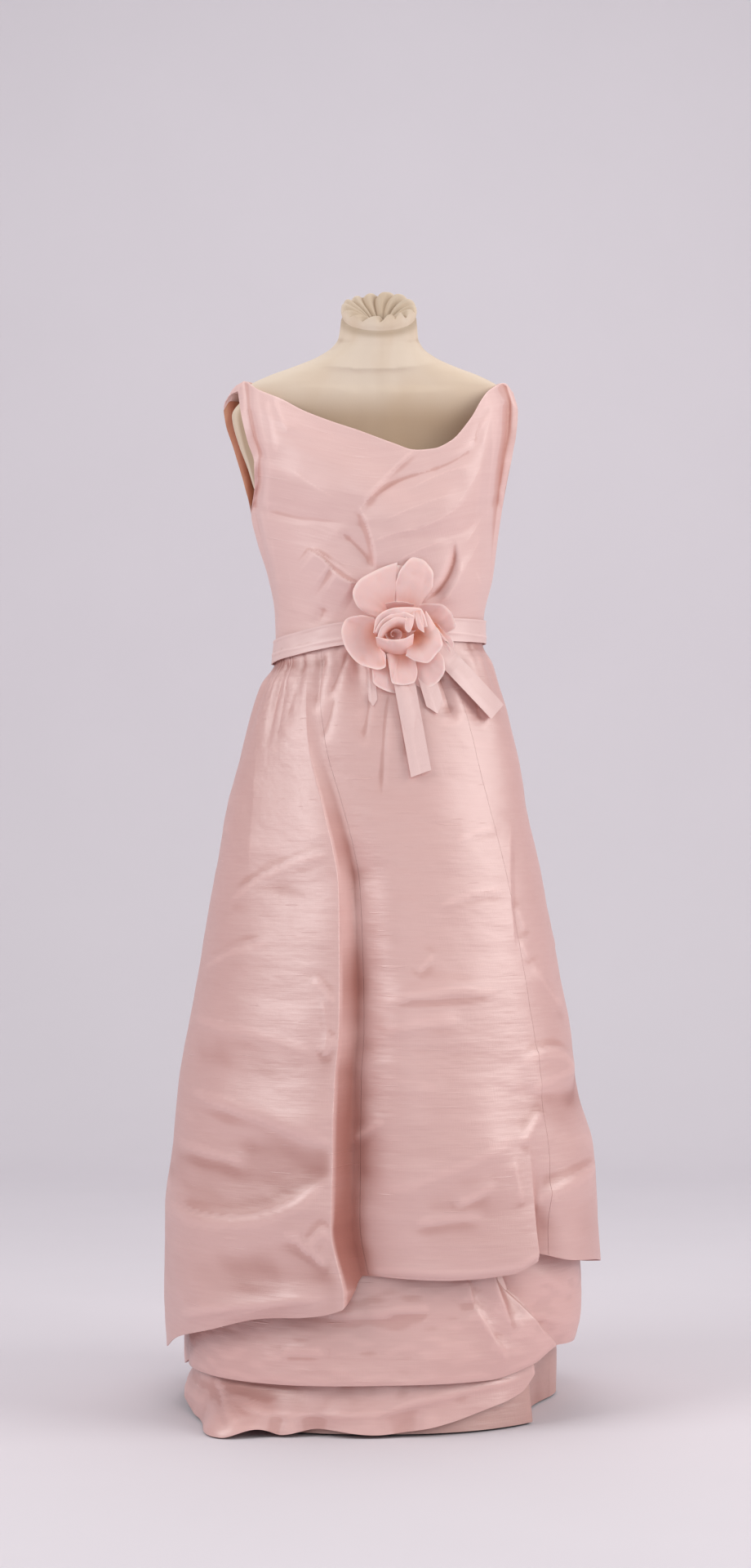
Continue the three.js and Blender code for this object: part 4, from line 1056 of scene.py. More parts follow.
LEFT_BACK_EDGE = LEFT_SEAM + [
    (0.67, -187, 21, 1293),
    (0.79, -201, 33, 1342),
    (0.87, -212, 35, 1376),
    (0.93, -216, 29, 1402),
    (0.965, -205, 14, 1417),
    (1, -195, 0, 1419),
]
RIGHT_BACK_EDGE = RIGHT_SEAM + [
    (0.68, 186, 18, 1298),
    (0.82, 195, 32, 1346),
    (0.92, 199, 30, 1385),
    (1, 193, 0, 1417),
]
LEFT_BACK_NECKLINE = [(0, -195, 0, 1419), (0.09, -186, 0, 1433), (0.2, -165, 30, 1432)]
LEFT_BACK_NECKLINE += [(0.45, -116, 68, 1412), (0.75, -55, 93, 1389), (1, 0, 102, 1380)]
RIGHT_BACK_NECKLINE = [(0, 193, 0, 1417), (0.09, 180, 0, 1430), (0.2, 162, 30, 1428)]
RIGHT_BACK_NECKLINE += [(0.45, 114, 68, 1412), (0.75, 55, 93, 1389), (1, 0, 102, 1380)]
# x1, z1, x2, z2, bow, out, soft, sharp
BODICE_CREASES = [
    (53, 1324, -22, 1240, 4, 5, 44, 4.5),
    (-22, 1240, -2, 1164, -4, 6.5, -50, 3),
    (-16, 1250, 67, 1294, -7, -3.6, 11, 4.5),
    (67, 1294, 135, 1331, 4, -3, 14, 6),
    (135, 1331, 160, 1392, -6, -2.8, 14, 6),
    (-163, 1349, -118, 1302, -3, 0.4, 22, 7),
    (-118, 1302, -53, 1257, 3, 0.8, 22, 3),
    (-92, 1187, -60, 1160, -3, 8, 26, 2.6),
    (-60, 1160, -26, 1139, 2, 9.5, 24, 2.6),
    (-86, 1190, -28, 1148, 0, 2.5, 7, 2.4),
    (-48, 1211, -2, 1162, -3, -7, 16, 9),
    (-70, 1111, -81, 1080, 0, -3, 14, 10),
    (72, 1121, 108, 1192, 9, -12, 7, 4),
    (90, 1117, 118, 1170, 4, 5, 18, 5),
    (123, 1199, 158, 1261, 2, 3.5, 20, 5),
    (118, 1159, 153, 1229, 2, 3, 16, 6),
    (-155, 1403, -139, 1327, 0, 2.4, -12, 3.5),
    (-144, 1402, -123, 1351, 0, 2, -10, 3.5),
    (-162, 1320, -151, 1238, 0, 2.5, -12, 4),
    (-148, 1206, -135, 1143, 0, 2.2, -12, 6),
    (-123, 1171, -114, 1101, 0, 2, -10, 6),
    (183, 1420, 145, 1308, -2, 1.8, -20, 6),
    (145, 1308, 108, 1246, -2, 1.8, -16, 5),
    (160, 1382, 146, 1332, 0, 2, -10, 4),
    (-2, 1197, 57, 1213, -3, 3, -16, 6),
    (57, 1213, 121, 1251, 3, 3, -16, 6),
    (10, 1224, 112, 1264, -3, 2.2, -14, 6),
    (49, 1270, 129, 1304, -3, 2.2, -12, 5),
    (27, 1168, 94, 1198, -3, 2.4, -12, 5),
    (138, 1160, 155, 1123, 0, 2, -10, 4),
]
BACK_BODICE_CREASES = [
    (-20, 1120, -70, 1210, 5, 4, 14, 6),
    (-60, 1105, -120, 1180, 4, 3, 14, 8),
    (-150, 1300, -70, 1270, -6, 3, -16, 8),
    (24, 1115, 84, 1200, -6, 4, -14, 6),
    (80, 1110, 130, 1170, -4, 3, -14, 8),
    (60, 1290, 150, 1330, 6, 3, 16, 8),
]


# %% Surfaces of the bodice
def point_on(table, at):
    """A point of an edge, from its table of places."""
    return np.stack([between(table, at, column) for column in (1, 2, 3)], axis=-1)


def waist_point(angle):
    """The bodice's side of the waist seam."""
    return around(oval_radius(OVERSKIRT, 1090, angle), angle, between(WAIST, angle) + 0.6)


def patch(low, high, left, right, u, v):
    """Ruled from the low edge to the high one, plus each side edge's own bends, which die away across
    the patch: fast in depth and evenly otherwise."""

    def bends(edge, end):
        ends = np.full_like(v, float(end))
        return edge(v) - lerp(low(ends), high(ends), v[..., None])

    near = np.stack([1 - u, (1 - u) ** 3, 1 - u], axis=-1)
    far = np.stack([u, u**3, u], axis=-1)
    return lerp(low(u), high(u), v[..., None]) + bends(left, 0) * near + bends(right, 1) * far


def bodice_front(u, v):
    """The patch of the front, swelled by a bell over the bust and lifted by its creases."""
    point = patch(
        lambda s: waist_point(lerp(-90, 90, s)),
        lambda s: point_on(FRONT_NECKLINE, s),
        lambda t: point_on(LEFT_FRONT_EDGE, t),
        lambda t: point_on(RIGHT_FRONT_EDGE, t),
        u,
        v,
    )
    inside = 4 * u * (1 - u)
    bust = 25 * bell(v - 0.52, 0.42) * inside**0.8 * ramp(v, 0.05, 0.3) * ramp(v, 1, 0.7)
    x, z = point[..., 0], point[..., 2]
    lift = creases(BODICE_CREASES, x, z) + 0.5 * ripple(x, z, 12, 70)
    point[..., 1] -= bust + ramp(v, 0.04, 0.12) * lift * np.minimum(1, 2.5 * inside)
    point[..., 1] = np.minimum(point[..., 1], -0.15)
    return point


def bodice_back(side, edge, neckline, u, v):
    """Half of the back, from its side seam to the middle, swelled over the shoulder blade."""
    middle = neckline[-1]
    foot = waist_point(np.array(180.0 * side))[2]
    point = patch(
        lambda s: waist_point(side * lerp(90, 180, s)),
        lambda s: point_on(neckline, s),
        lambda t: point_on(edge, t),
        lambda t: np.stack([0 * t, lerp(103, middle[2], t), lerp(foot, middle[3], t)], axis=-1),
        u,
        v,
    )
    high = bell(v - 0.6, 0.4) * ramp(v, 0.05, 0.3) * ramp(v, 1, 0.75)
    point[..., 1] += 24 * high * np.sin(np.pi * (0.08 + 0.55 * u)) ** 2 * ramp(u, 0, 0.25)
    point[..., 0] += side * 7 * high * bell(u - 0.24, 0.2) * ramp(u, 0, 0.15)
    x, z = point[..., 0], point[..., 2]
    lift = creases(BACK_BODICE_CREASES, x, z) + 0.5 * ripple(x, z, 17, 80)
    point[..., 1] += ramp(v, 0.04, 0.12) * lift * ramp(u, 0, 0.25) * ramp(u, 1, 0.85)
    point[..., 1] = np.maximum(point[..., 1], 0.15)
    point[..., 0] = side * np.maximum(side * point[..., 0], 0.15)
    return point


# %% Put the bodice together
TURNED_IN = 9
u, v = np.meshgrid(stations(0, 1, 196), stations(0, 1, 156), indexing="ij")
front = bodice_front(u, v)
x, z = front[..., 0] * MM, front[..., 2] * MM
bias = np.stack([x + 0.2 * z, z - 0.3 * np.sqrt(x**2 + 0.0016)], axis=-1)
whole = turned_in(front, TURNED_IN)
bias = np.concatenate([bias, np.repeat(bias[:, -1:], whole.shape[1] - front.shape[1], axis=1)], axis=1)
piece = cloth_sheet("bodice_front_silk", whole, CLOTH, bias, wide=hollow(whole, 9, 20))
hang(piece, SILK_BODICE, "bodice_front", whole)

# name, side, edge, neckline
HALVES = [
    ("bodice_back_left", -1, LEFT_BACK_EDGE, LEFT_BACK_NECKLINE),
    ("bodice_back_right", 1, RIGHT_BACK_EDGE, RIGHT_BACK_NECKLINE),
]
for name, side, edge, neckline in HALVES:
    columns = stations(0, 1, 72)
    u, v = np.meshgrid(columns if side > 0 else columns[::-1], stations(0, 1, 84), indexing="ij")
    points = turned_in(bodice_back(side, edge, neckline, u, v), TURNED_IN)
    piece = cloth_sheet(name + "_silk", points, CLOTH, wide=hollow(points, 9, 30))
    hang(piece, SILK_BODICE, name, points)

# the lining of the left back, which shows through the armhole
u, v = np.meshgrid(np.linspace(0.5, 0, 30), np.linspace(7 / 12, 11 / 12, 30), indexing="ij")
panel = bodice_back(-1, LEFT_BACK_EDGE, LEFT_BACK_NECKLINE, u, v)
lining = panel - (CLOTH + 1.2) * normals(panel)
piece = cloth_sheet("bodice_lining_silk", lining, 1.0)
hang(piece, LINING, "bodice_lining", lining)

# %% [markdown]
# ## Sash and tails
# The sash is a folded ribbon about 32 mm wide, tied close over the waist seam. Its knot hides under the
# rose, and its tails hang free in front of the skirt.


# %% Sash
def sash(u, v):
    """The skirt's and bodice's oval at that height, moved out by the ribbon and its own soft folds."""
    z = between(WAIST, np.where(u > 180, u - 360, u)) + 32 * (v - 0.5)
    proud = 1.6 + CLOTH + 2.2 * (1 - v) + (0.8 + 1.5 * bell(u - 84, 9)) * v
    pleat = 0.9 * bell(v - 0.34 - 0.06 * np.sin(np.radians(u * 3)), 0.06) + 0.7 * bell(v - 0.97, 0.05)
    wave = 0.5 * ripple(np.radians(u) * 150, z * 0.5, 41, 45) * np.sin(np.pi * v)
    return around(oval_radius(OVERSKIRT, z, u) + proud + pleat + np.maximum(wave, -0.6), u, z)


# name, first angle, last angle, columns
SASH_PARTS = [("left", -90, 12, 96), ("right", 12.2, 90, 76), ("back", 90.2, 269.8, 120)]
for name, start, end, count in SASH_PARTS:
    u, v = np.meshgrid(np.linspace(start, end, count), np.linspace(0, 1, 22), indexing="ij")
    points = sash(u, v)
    piece = cloth_sheet(f"sash_{name}_ribbon", points, CLOTH, wide=0 * u)
    hang(piece, RIBBON, f"sash_{name}", points)


# %% Tails
# name, x1, z1, x2, z2, clearance above, below, width, slant of the cut
TAILS = [
    ("tail_centre", 30, 1052, 61, 880, 6, 8, 29, 5),
    ("tail_right", 80, 1058, 168, 966, 6.8, 12, 28, 2),
    ("tail_short", 56, 1058.5, 84, 962, 4.5, 4, 24, -14),
    ("bud_leaf", -8, 1030, -4, 972, 0.5, 0.5, 12, -9),
]


def tail(row, u, v):
    """A strip seen from the front, laid over the skirt's oval at its clearance; its low end is cut
    aslant or to a point."""
    _, x1, z1, x2, z2, above, below, wide, cut = row
    run, rise = x2 - x1, z2 - z1
    length = math.hypot(run, rise)
    run, rise = run / length, rise / length
    side = (u - 0.5) * wide
    slant = cut * (0.5 - u) if cut > 0 else cut * np.abs(2 * u - 1)
    x = lerp(x2, x1, v) - rise * side + run * slant * (1 - v)
    z = lerp(z2, z1, v) + run * side + rise * slant * (1 - v)
    share = np.abs(x) / between(OVERSKIRT, z, 2)
    ahead = between(OVERSKIRT, z, 3) * (1 - share**SQUARENESS) ** (1 / SQUARENESS)
    curl = 1.2 * np.cos(2 * np.pi * (u - 0.35)) + 0.8 * ripple(side, v * length, 51, 60)
    return np.stack([x, -ahead - lerp(below, above, v) - np.maximum(curl, -0.4), z], axis=-1)


for row in TAILS:
    u, v = np.meshgrid(np.linspace(0, 1, 18), np.linspace(0, 1, 60), indexing="ij")
    points = tail(row, u, v)
    piece = cloth_sheet(row[0] + "_ribbon", points, 0.9, wide=0 * u)
    hang(piece, RIBBON, row[0], points)

# %% [markdown]
# ## The rose
# Each petal of the rose is cut from starched silk, and its edge is curled over a hot iron. Outer petals
# lie round a pad; inner ones stand as cups round a rolled heart, with a hood and small crumpled petals
# between them. No two are alike, so each blade is ruled from its own root to its own rim.

# %% Rose directions
ROSE_X, ROSE_Y, ROSE_Z, ROSE_TURN = 24, -120.5, 1070, math.radians(10)
PAD_RADIUS, PAD_BACK, PAD_HEIGHT = 16, -2.1, 9


def on_rose(right, up, out):
    """A place given as right, up and out of the rose, in the dress's own frame."""
    x = ROSE_X + right * math.cos(ROSE_TURN) + out * math.sin(ROSE_TURN)
    y = ROSE_Y + right * math.sin(ROSE_TURN) - out * math.cos(ROSE_TURN)
    return np.stack(np.broadcast_arrays(x, y, ROSE_Z + up), axis=-1)


# name; root; rim, clockwise as seen from the front; belly, steepness, how light the root stays under its
# painted shade, and a crease's place, height and width. Places are right, up and out.
PETALS = [
    (
        "petal_top_left",
        [(-10, 28, 5), (1, 37, 6)],
        [
            (-24, 23, 9), (-42, 30, 13), (-54, 40, 16), (-60, 56, 16), (-52, 73, 15), (-33, 85, 15),
            (-16, 93, 16), (2, 99, 19), (1, 82, 16), (-1, 62, 12), (-3, 44, 8),
        ],
        (4, 1, 0.4, 0.3, 1.5, 0.06),
    ),
    (
        "petal_top_right",
        [(5, 35, 9), (32, 35, 9)],
        [
            (0, 42, 10), (-1, 62, 14), (3, 83, 19), (10, 95, 22), (24, 106, 24), (34, 104, 24),
            (44, 97, 23), (52, 83, 19), (52, 68, 14), (44, 54, 11), (35, 40, 9),
        ],
        (3, 1, 0.4, 0.62, -3.5, 0.1),
    ),
    (
        "petal_low_right",
        [(42, -14, 4), (25, -25, 4)],
        [(60, -21, 12), (67, -32, 16), (68, -46, 18), (60, -63, 18), (44, -72, 16), (27, -73, 13)],
        (5, 1, 0.3, 0.5, 2, 0.1),
    ),
    (
        "petal_low_left",
        [(-1, -36, 4), (-13, -32, 4)],
        [(8, -68, 11), (-1, -80, 15), (-18, -75, 15), (-31, -64, 14), (-32, -48, 10)],
        (4, 1, 0.15, 0.4, 3, 0.1),
    ),
    (
        "petal_right",
        [(33, 20, 4), (42, 6, 4)],
        [
            (25, 41, 10), (42, 43, 16), (62, 42, 20), (74, 33, 22), (80, 22, 20), (83, 11, 16), (75, 4, 8),
            (59, -5, 4),
        ],
        (-7, 1, -0.2, 0.55, 3, 0.06),
    ),
    (
        "petal_left",
        [(-23, -14, 10), (-25, 11, 10)],
        [
            (-22, -21, 18), (-15, -29, 25), (-15, -43, 26), (-25, -48, 22), (-38, -45, 18), (-51, -40, 17),
            (-63, -29, 18), (-72, -14, 20), (-76, 4, 22), (-69, 21, 22), (-47, 26, 18), (-30, 23, 12),
        ],
        (-4, 1, 0.15, 0.3, 2, 0.1),
    ),
    (
        "petal_low",
        [(18, -23, 10), (0, -25, 10)],
        [
            (26, -32, 20), (29, -50, 22), (25, -65, 22), (9, -69, 23), (-5, -67, 22), (-10, -48, 22),
            (-13, -26, 18),
        ],
        (3, 1, 0.15, 0.6, 4, 0.05),
    ),
    (
        "cup_right",
        [(31, 8, 12), (18, -3, 12)],
        [
            (41, 33, 22), (52, 17, 22), (61, 2, 24), (63, -13, 27), (54, -27, 30), (40, -39, 32),
            (26, -37, 32), (11, -29, 30),
        ],
        (7, 1.5, -0.15, 0.25, -3, 0.07),
    ),
    (
        "cup_top",
        [(-25, -5, 12), (-2, 8, 11), (24, 6, 12)],
        [
            (-34, 2, 30), (-31, 20, 34), (-20, 31, 36), (-4, 36, 37), (13, 37, 37), (30, 36, 34),
            (38, 25, 30), (42, 11, 28),
        ],
        (2, 2.6, -0.1, 0.5, 0, 0.1),
    ),
    (
        "cup_low",
        [(-26, -16, 14), (-11, -25, 16), (6, -27, 16), (23, -21, 14)],
        [(-32, -4, 36), (-21, -6, 41), (-8, -8, 42), (7, -6, 41), (21, 1, 37)],
        (6, 1.3, 0.35, 0.35, -3.0, 0.08),
    ),
    (
        "inner_fold",
        [(-24, -5, 13), (-3, 7, 13), (18, 5, 13)],
        [(-33, 3, 36), (-24, 18, 38), (-10, 27, 39), (7, 30, 39), (21, 25, 38)],
        (2, 2.6, -0.1, 0.5, 0, 0.1),
    ),
    (
        "hood",
        [(-17, -4, 18), (-8, 5, 19), (2, 8, 19), (11, 2, 18)],
        [(-30, -6, 38), (-26, 7, 41), (-16, 17, 42), (-2, 23, 42), (9, 21, 41), (14, 4, 39)],
        (1, 3.2, 0.05, 0.45, 1.2, 0.1),
    ),
    (
        "back_strip",
        [(-12, 35, 14), (24, 34, 14)],
        [(-17, 42, 28), (1, 45, 31), (23, 41, 30)],
        (2, 1, 0.4, 0.5, 0, 0.1),
    ),
    (
        "inner_petal",
        [(21, 34, 34), (13, 33, 34)],
        [(23, 25, 37), (19, 11, 40), (13, 2, 42), (8, 8, 42), (9, 23, 41)],
        (2, 1, 0.3, 0.5, 2, 0.1),
    ),
    (
        "outer_petal",
        [(32, 33, 33), (23, 33, 34)],
        [(32, 28, 33), (35, 17, 35), (36, 2, 37), (27, 8, 38), (23, 20, 38)],
        (2, 1, 0.4, 0.5, -2, 0.1),
    ),
    (
        "sepal_high",
        [(55, 17, 16), (51, 16, 16)],
        [(60, 12, 20), (79, -14, 26), (79, -20, 26), (74, -14, 26), (54, 8, 21)],
        (0, 1, -0.2, 0.5, 2, 0.2),
    ),
    (
        "sepal_low",
        [(52, 12, 16), (49, 11, 16)],
        [(56, 4, 20), (74, -20, 24), (75, -25, 24), (70, -21, 24), (50, 2, 20)],
        (0, 1, -0.2, 0.5, 2, 0.2),
    ),
    (
        "top_backing",
        [(-6, 31, 3), (31, 33, 3)],
        [(-15, 44, 8), (-12, 79, 13), (4, 95, 17), (24, 93, 17), (46, 62, 9)],
        (3, 1, -0.1, 0.5, 0, 0.1),
    ),
    (
        "low_backing",
        [(38, -21, 3), (1, -25, 3)],
        [(67, -42, 9), (54, -62, 12), (31, -73, 12), (2, -74, 12), (-20, -64, 10), (-29, -48, 7)],
        (3, 1, -0.1, 0.5, 0, 0.1),
    ),
]
# small pieces that take the place of no solid
STANDS_ALONE = (
    "inner_fold",
    "hood",
    "back_strip",
    "inner_petal",
    "outer_petal",
    "sepal_high",
    "sepal_low",
    "top_backing",
    "low_backing",
)


# %% Petals, cups and heart
def place_along(rows, share):
    """The place at a share of the running length of a line of places."""
    rows = np.asarray(rows, float)
    run = np.concatenate([[0], np.cumsum(np.linalg.norm(np.diff(rows, axis=0), axis=1))])
    table = np.column_stack([run / run[-1], rows])
    return np.stack([between(table, share, column) for column in (1, 2, 3)], axis=-1)


def petal(row, u, v):
    """Ruled from the root to the rim. It rises as 1 - (1 - v)^steepness, swells by a belly, rolls back
    and frills at the rim, and has one crease along a ruling."""
    name, root, rim, (belly, steep, _, crease_at, crease, crease_wide) = row
    phase = sum(map(ord, name)) % 7
    start, end = place_along(root, u), place_along(rim, u)
    right, up = (lerp(start[..., axis], end[..., axis], v) for axis in (0, 1))
    size = np.hypot(np.ptp(right), np.ptp(up)) / 60
    swell = belly * np.sin(np.pi * v) * np.sin(np.pi * u) ** 0.6
    out = lerp(start[..., 2], end[..., 2], 1 - (1 - v) ** steep) + swell
    out = out + size * (1.0 * v**2 * np.sin(13 * u + 3 * v + phase) + 0.4 * v**5 * np.sin(33 * u + phase))
    out = out + crease * v * bell(u - crease_at - 0.05 * np.sin(4 * v), crease_wide, 1.4)
    out = out + 0.4 * size * ripple(right, up, phase + 3, 26) * v - 0.8 * size * ramp(v, 0.9, 1) ** 1.5
    return on_rose(right, up, out)


def pin(name, points, tip, edge, stands_for=None, thick=0.45, fills=None):
    """Makes one piece of the rose from its grid."""
    piece = cloth_sheet(name, points, thick, tip=tip, edge=edge)
    return hang(piece, PETAL, stands_for, points, fills)


for row in PETALS:
    large = row[0] not in STANDS_ALONE
    across, along = (60, 26) if large else (40, 16)
    u, v = np.meshgrid(np.linspace(0, 1, across), np.linspace(0, 1, along), indexing="ij")
    pin(row[0] + "_silk", petal(row, u, v), lerp(row[3][2], 1, v), v, row[0] if large else None, fills=0.7)

u, v = np.meshgrid(np.linspace(0, 1, 110), np.linspace(0, 1, 22), indexing="ij")
turn = np.radians(-150 + 360 * 1.35 * u)
radius = 1.5 + 9.5 * u * lerp(0.55, 1, v) + 2.5 * v * v + 0.6 * v**2 * np.sin(17 * u)
height = PAD_HEIGHT + 0.3 + 23 * v * lerp(1, 0.9, u)
heart = on_rose(-4 + radius * np.sin(turn), radius * np.cos(turn), height)
# painted shade darkens the heart towards the pad
pin("rose_heart_silk", heart, 0.35 + 0.5 * v, 0.9 * v, "rose_heart")

# the pad that all the petals are sewn to, as a low padded button
turn, share = np.meshgrid(np.linspace(0, 2 * np.pi, 49), np.linspace(0, 1, 24), indexing="ij")
height = lerp(PAD_BACK, PAD_HEIGHT, np.clip(share * 2, 0, 1))
flank = PAD_RADIUS - 1.5 * (1 - np.clip(share * 2, 0, 1))
radius = np.where(share < 0.5, flank, PAD_RADIUS * (1 - (share - 0.5) * 1.96))
points = on_rose(radius * np.sin(turn), radius * np.cos(turn), height)
# the pad keeps nearly all of a root's painted shade
pin("rose_pad_silk", points, share * 0.3, share * 0, "rose_pad", thick=0.5)

# %% [markdown]
# ## The dress form
# A padded torso under a cream jersey cover. The cover is gathered over the neck and its pleats meet in a
# small dark hole. A stack of rings makes it: the same ring is scaled, lifted and pleated.

# %% Form sizes
FORM_FOOT, FORM_NECK = 742, 1534
HOLE_X, HOLE_Y = 6, -16
# z, middle, half, front, back
FORM = [
    (742, 0, 120, 84, 92),
    (754, 0, 152, 104, 116),
    (800, 0, 168, 113, 128),
    (870, 0, 166, 114, 126),
    (960, 0, 148, 106, 108),
    (1060, 2, 128, 94, 84),
    (1150, 2, 143, 106, 92),
    (1240, -1, 157, 118, 96),
    (1300, -4.5, 173.5, 92, 98),
    (1345, -5.5, 188.5, 76, 92),
    (1385, -6.5, 196.5, 68, 80),
    (1408, -3, 185, 63, 69),
    (1424, -4, 178, 58, 61),
    (1440, -3, 150, 56, 58),
    (1453, -2, 115, 55, 57),
    (1466, 0, 85, 54, 56),
    (1482, 2, 64, 53, 56),
    (1500, 3, 55, 53, 56),
    (1540, 4, 52, 52, 54),
]
# place along the cap, share of the full ring, rise, pleat
NECK_RINGS = [
    (0, 0.97, -12, 0),
    (1, 1.02, -3, 0.3),
    (2, 0.99, 4, 0.8),
    (3, 0.86, 6, 1.2),
    (4, 0.64, 2, 1.2),
    (5, 0.4, -6, 1),
    (6, 0.24, -16, 0.6),
    (7, 0.14, -30, 0),
]
# angle, depth
PLEATS = [(7, 1.0), (31, 0.8), (52, 1.1), (81, 0.9), (104, 1.0), (132, 1.2), (158, 0.8)]
PLEATS += [(187, 1.1), (211, 0.9), (236, 1.0), (262, 0.8), (290, 1.1), (313, 0.9), (338, 1.0)]


# %% The form's cover
def form_ring(z, angle):
    """The ellipse of the form's table at z, about its own middle line."""
    turn = np.radians(angle)
    half = between(FORM, z, 2)
    depth = np.where(np.cos(turn) > 0, between(FORM, z, 3), between(FORM, z, 4))
    radius = ((np.sin(turn) / half) ** 2 + (np.cos(turn) / depth) ** 2) ** -0.5
    point = around(radius, angle, z)
    point[..., 0] += between(FORM, z, 1)
    return point


def form_cover(angle, place):
    """Up to place 0 the torso, then over the neck: rings drawn in to the hole, on a slant, with one
    narrow trough for each pleat."""
    z = np.where(place < 0, lerp(FORM_FOOT, FORM_NECK, np.clip(place + 1, 0, 1)), FORM_NECK)
    ring = form_ring(z, angle)
    step = np.clip(place, 0, 7)
    share, rise, pleat = (between(NECK_RINGS, step, column) for column in (1, 2, 3))
    over = place >= 0
    share = np.where(over, share, 1)
    ring[..., 0] = lerp(HOLE_X, ring[..., 0], share)
    ring[..., 1] = lerp(HOLE_Y, ring[..., 1], share)
    trough = sum(deep * bell(away(angle + 6 * np.sin(step), at), 5.5) for at, deep in PLEATS)
    neck = ramp(place, -0.02, 0)
    lift = np.where(over, rise, -10 * ramp(place, -0.1, 0)) + 0.5 * ring[..., 1] * ramp(place, -0.08, 0)
    ring[..., 2] += lift + neck * pleat * (1.6 - 6 * trough + 1.2 * np.sin(np.radians(3 * angle)))
    return ring


place = np.concatenate([stations(-1, -0.004, 160, [(-0.12, 0.05, 4), (-0.01, 0.02, 2)]), stations(0, 7, 50)])
angle, place = np.meshgrid(np.linspace(-180, 180, 201), place, indexing="ij")
torso = form_cover(angle, place)
soft = np.where(place < 0, 0.5 * ripple(angle * 2.6, torso[..., 2], 61, 90), 0)
# x1, z1, x2, z2, bow, out, soft, sharp
FORM_CREASES = [
    (-70, 1447, 48, 1445, 4, 3.2, -14, 2.5),
    (30, 1446, 82, 1452, 2, 1.4, -7, 3),
    (-110, 1418, -20, 1408, -4, 1.0, 10, 5),
    (0, 1412, 120, 1420, 5, 1.0, 10, 5),
]
soft = soft + creases(FORM_CREASES, torso[..., 0], torso[..., 2]) * (torso[..., 1] < 0)
torso = torso + soft[..., None] * normals(torso)


def jersey():
    """Fine knitted cotton: vertical ribs of loops, a faint blotchy age and hardly any shine."""
    cover = Finish("jersey")
    threads = cover.cloth_map()
    ribs = cover.noise(cover.stretched(threads, (900, 260, 1)), 1, 2)
    age = cover.noise(threads, 6, 3)
    ground = cover.blend(cover.step(age, 0.35, 0.7), shade(230, 213, 194), shade(222, 200, 176))
    # painted shade in the creases; the cap darker towards the hole, with a painted shadow line under its lip;
    # a painted shadow of the cowl on the chest; painted shade deep in the hole
    ground = cover.blend(cover.step(cover.mark("ridge"), -0.1, -0.9) * 0.75, ground, shade(168, 134, 102))
    ground = cover.blend(cover.mark("cap") * 0.55, ground, shade(168, 144, 114))
    ground = cover.blend(cover.mark("chest_shadow") * 0.85, ground, shade(178, 150, 122))
    ground = cover.blend(cover.mark("hole"), ground, shade(70, 48, 30))
    cover.wear(
        Base_Color=ground,
        Roughness=0.82 + 0.1 * ribs,
        Sheen_Weight=0.2,
        Sheen_Roughness=0.6,
        Sheen_Tint=(1, 0.95, 0.88, 1),
        Normal=cover.bump(ribs, 0.3, 0.0005),
    )
    return cover.material


# close the grid round the form, with a fan over each end
n, m = torso.shape[0] - 1, torso.shape[1]
vertices = np.concatenate([torso[:-1].reshape(-1, 3), [[0, 0, FORM_FOOT], torso[:-1, -1].mean(axis=0)]])
index = np.arange(n * m).reshape(n, m)
after = np.roll(index, -1, axis=0)
quads = np.stack([index[:, :-1], after[:, :-1], after[:, 1:], index[:, 1:]], axis=-1).reshape(-1, 4)
low = np.stack([np.full(n, n * m), after[:, 0], index[:, 0]], axis=1)
high = np.stack([np.full(n, n * m + 1), index[:, -1], after[:, -1]], axis=1)
threads = np.stack([np.radians(angle) * 0.15, torso[..., 2] * MM], axis=-1)
cloth_map = np.concatenate([threads[:-1].reshape(-1, 2), [[0, 0], [0, 0]]])
# masks for the painted shade: creases, the cap with the shadow line under its lip, the cowl's shadow on the
# chest, and the hole
marks = {
    "ridge": np.concatenate([ridge(torso, 6, 1.4)[:-1].ravel(), [0, 0]]),
    "hole": np.concatenate([ramp(place, 5.2, 6.6)[:-1].ravel(), [0, 1]]),
    "cap": np.concatenate([(ramp(place, 1.2, 3.5) + bell(place + 0.006, 0.012))[:-1].ravel(), [0, 1]]),
    "chest_shadow": np.concatenate([(ramp(torso[..., 2], 1432, 1366) * (torso[..., 1] < -20))[:-1].ravel(), [0, 0]]),
}
faces = quads.tolist() + low.tolist() + high.tolist()
cover = new_mesh("form_cover", vertices, faces, cloth_map, marks)
cover.data.materials.append(jersey())
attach(cover, "root")
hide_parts("form_body")
print("form:", len(cover.data.polygons), "faces")


# %% [markdown]
# ## The stand
# A steel pole on a round cast base, both hidden under the skirt. Their solids have the right shape, so
# they only get a finish.


# %% Stand finishes
def painted(name, light, dark, metal, rough):
    """Paint or bare steel with a slow mottle and fine scratches in Object coordinates."""
    coat = Finish(name)
    place = coat.node("ShaderNodeTexCoord", output=3)
    mottle = coat.noise(place, 18, 4, 0.6)
    scratches = coat.noise(coat.stretched(place, (300, 300, 12)), 1, 2)
    coat.wear(
        Base_Color=coat.blend(mottle, dark, light),
        Metallic=metal,
        Roughness=rough + 0.15 * scratches,
        Normal=coat.bump(scratches, 0.15, 0.0004),
    )
    return coat.material


for node, finish in [
    ("stand_pole", painted("steel", shade(178, 178, 182), shade(150, 150, 156), 0.9, 0.28)),
    ("stand_base", painted("cast_paint", shade(74, 74, 80), shade(58, 58, 62), 0.1, 0.5)),
]:
    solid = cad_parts[node]
    solid.data.materials.clear()
    solid.data.materials.append(finish)
    print(node, "finished with", finish.name)

# %% [markdown]
# ## Studio
# A pale floor that curves up into a plain backdrop, with a wide far floor just under it. Two large soft
# lights of nearly the same power stand to the left and the right; a weak one stands in front and another
# hangs overhead.


